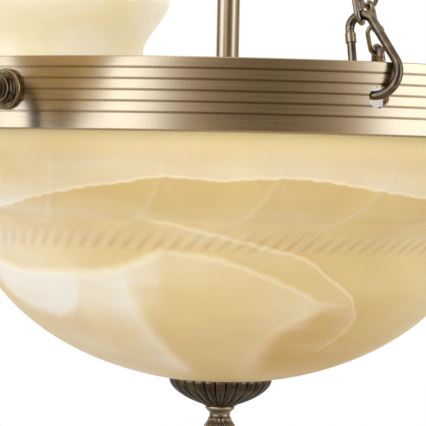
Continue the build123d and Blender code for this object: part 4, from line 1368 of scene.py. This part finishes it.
lamps = [
    soft_box(
        "soft_box_fill", azimuth=-46, distance=2.5, height=eye_height + 0.2, width=2.0, tall=1.6, power=11.5
    ),
    soft_box(
        "soft_box_back", azimuth=150, distance=2.2, height=eye_height + 0.9, width=1.8, tall=1.4, power=9
    ),
]
for lamp in lamps:
    lamp.visible_glossy = False
soft_box("soft_box_top", azimuth=-40, distance=1.4, height=eye_height + 2.2, width=1.8, tall=1.8, power=12)

# A wall that only reflections show, with its brightness by azimuth in degrees:
# a large soft box on the left, a smaller one on the right
WALL_LEVELS = [
    (-140, 0.35), (-112, 0.4), (-100, 0.6), (-90, 1.7), (-80, 3.6), (-64, 4.9), (-36, 5.0), (-29, 4.8),
    (-24, 3.8), (-19, 1.95), (-14, 0.9), (-8, 0.5), (-2, 0.35), (5, 0.25), (11, 0.2), (18, 0.22),
    (25, 0.3), (31, 0.42), (37, 0.65), (43, 1.3), (48, 3.0), (54, 4.7), (70, 4.7), (82, 2.9),
    (92, 1.0), (104, 0.5), (140, 0.4),
]
wall_start = WALL_LEVELS[0][0]
wall_stop = WALL_LEVELS[-1][0]
wall_peak = 5.5
wall_distance = 2.4
wall_half_height = 1.6
wall_columns = 57
wall_shape = bmesh.new()
corners = []
for azimuth in np.linspace(wall_start, wall_stop, wall_columns):
    for rise in (-wall_half_height, wall_half_height):
        corners.append(wall_shape.verts.new(around_object(azimuth, wall_distance, eye_height + rise)))
for index in range(0, len(corners) - 2, 2):
    wall_shape.faces.new((corners[index], corners[index + 1], corners[index + 3], corners[index + 2]))
wall_material = bpy.data.materials.new("studio_wall_light")
wall_material.use_nodes = True
tree = wall_material.node_tree
tree.nodes.clear()
place = add(tree, "ShaderNodeTexCoord").outputs["Object"]
facing = add(
    tree, "ShaderNodeVectorRotate", {"Vector": place, "Angle": -camera_azimuth}, rotation_type="Z_AXIS"
)
split = add(tree, "ShaderNodeSeparateXYZ", {0: facing.outputs[0]})
turn = turn_from_front(tree, split)
along = add(
    tree,
    "ShaderNodeMapRange",
    {"Value": turn.outputs[0], "From Min": math.radians(wall_start), "From Max": math.radians(wall_stop)},
)
curve = add(tree, "ShaderNodeFloatCurve", {"Value": along.outputs[0]})
wall_span = wall_stop - wall_start
trace(curve, [((azimuth - wall_start) / wall_span, level / wall_peak) for azimuth, level in WALL_LEVELS])
strength = add(tree, "ShaderNodeMath", {0: curve.outputs[0], 1: wall_peak}, operation="MULTIPLY")
cool = add(
    tree, "ShaderNodeMapRange", {"Value": strength.outputs[0], "From Min": 0.3, "From Max": 2.6}, **SOFT_ENDS
)
tint = add(
    tree,
    "ShaderNodeMix",
    {"Factor": cool.outputs[0], "A": colour("#FFF4E2"), "B": colour("#C6DCFF")},
    data_type="RGBA",
)
glow = add(tree, "ShaderNodeEmission", {"Color": tint.outputs["Result"], "Strength": strength.outputs[0]})
add(tree, "ShaderNodeOutputMaterial", {"Surface": glow.outputs[0]})
board = piece("studio_wall", shape_mesh("studio_wall", wall_shape), wall_material)
board.visible_camera = False
board.visible_diffuse = False
board.visible_shadow = False

# Camera
lens_pixels = 2680
image_pixels = 426
yaw_pixels = 11.1
pitch_pixels = 28
camera_data = bpy.data.cameras.new("camera")
camera_data.sensor_width = 36
camera_data.lens = camera_data.sensor_width * lens_pixels / image_pixels
camera = bpy.data.objects.new("camera", camera_data)
scene.collection.objects.link(camera)
scene.camera = camera
camera.location = around_object(0, camera_distance, eye_height)
yaw = camera_azimuth + yaw_pixels / lens_pixels
pitch = math.pi / 2 - pitch_pixels / lens_pixels
roll = 0.0215
look = Matrix.Rotation(yaw, 3, "Z") @ Matrix.Rotation(pitch, 3, "X") @ Matrix.Rotation(roll, 3, "Z")
camera.rotation_euler = look.to_euler()

scene.view_settings.view_transform = "Standard"
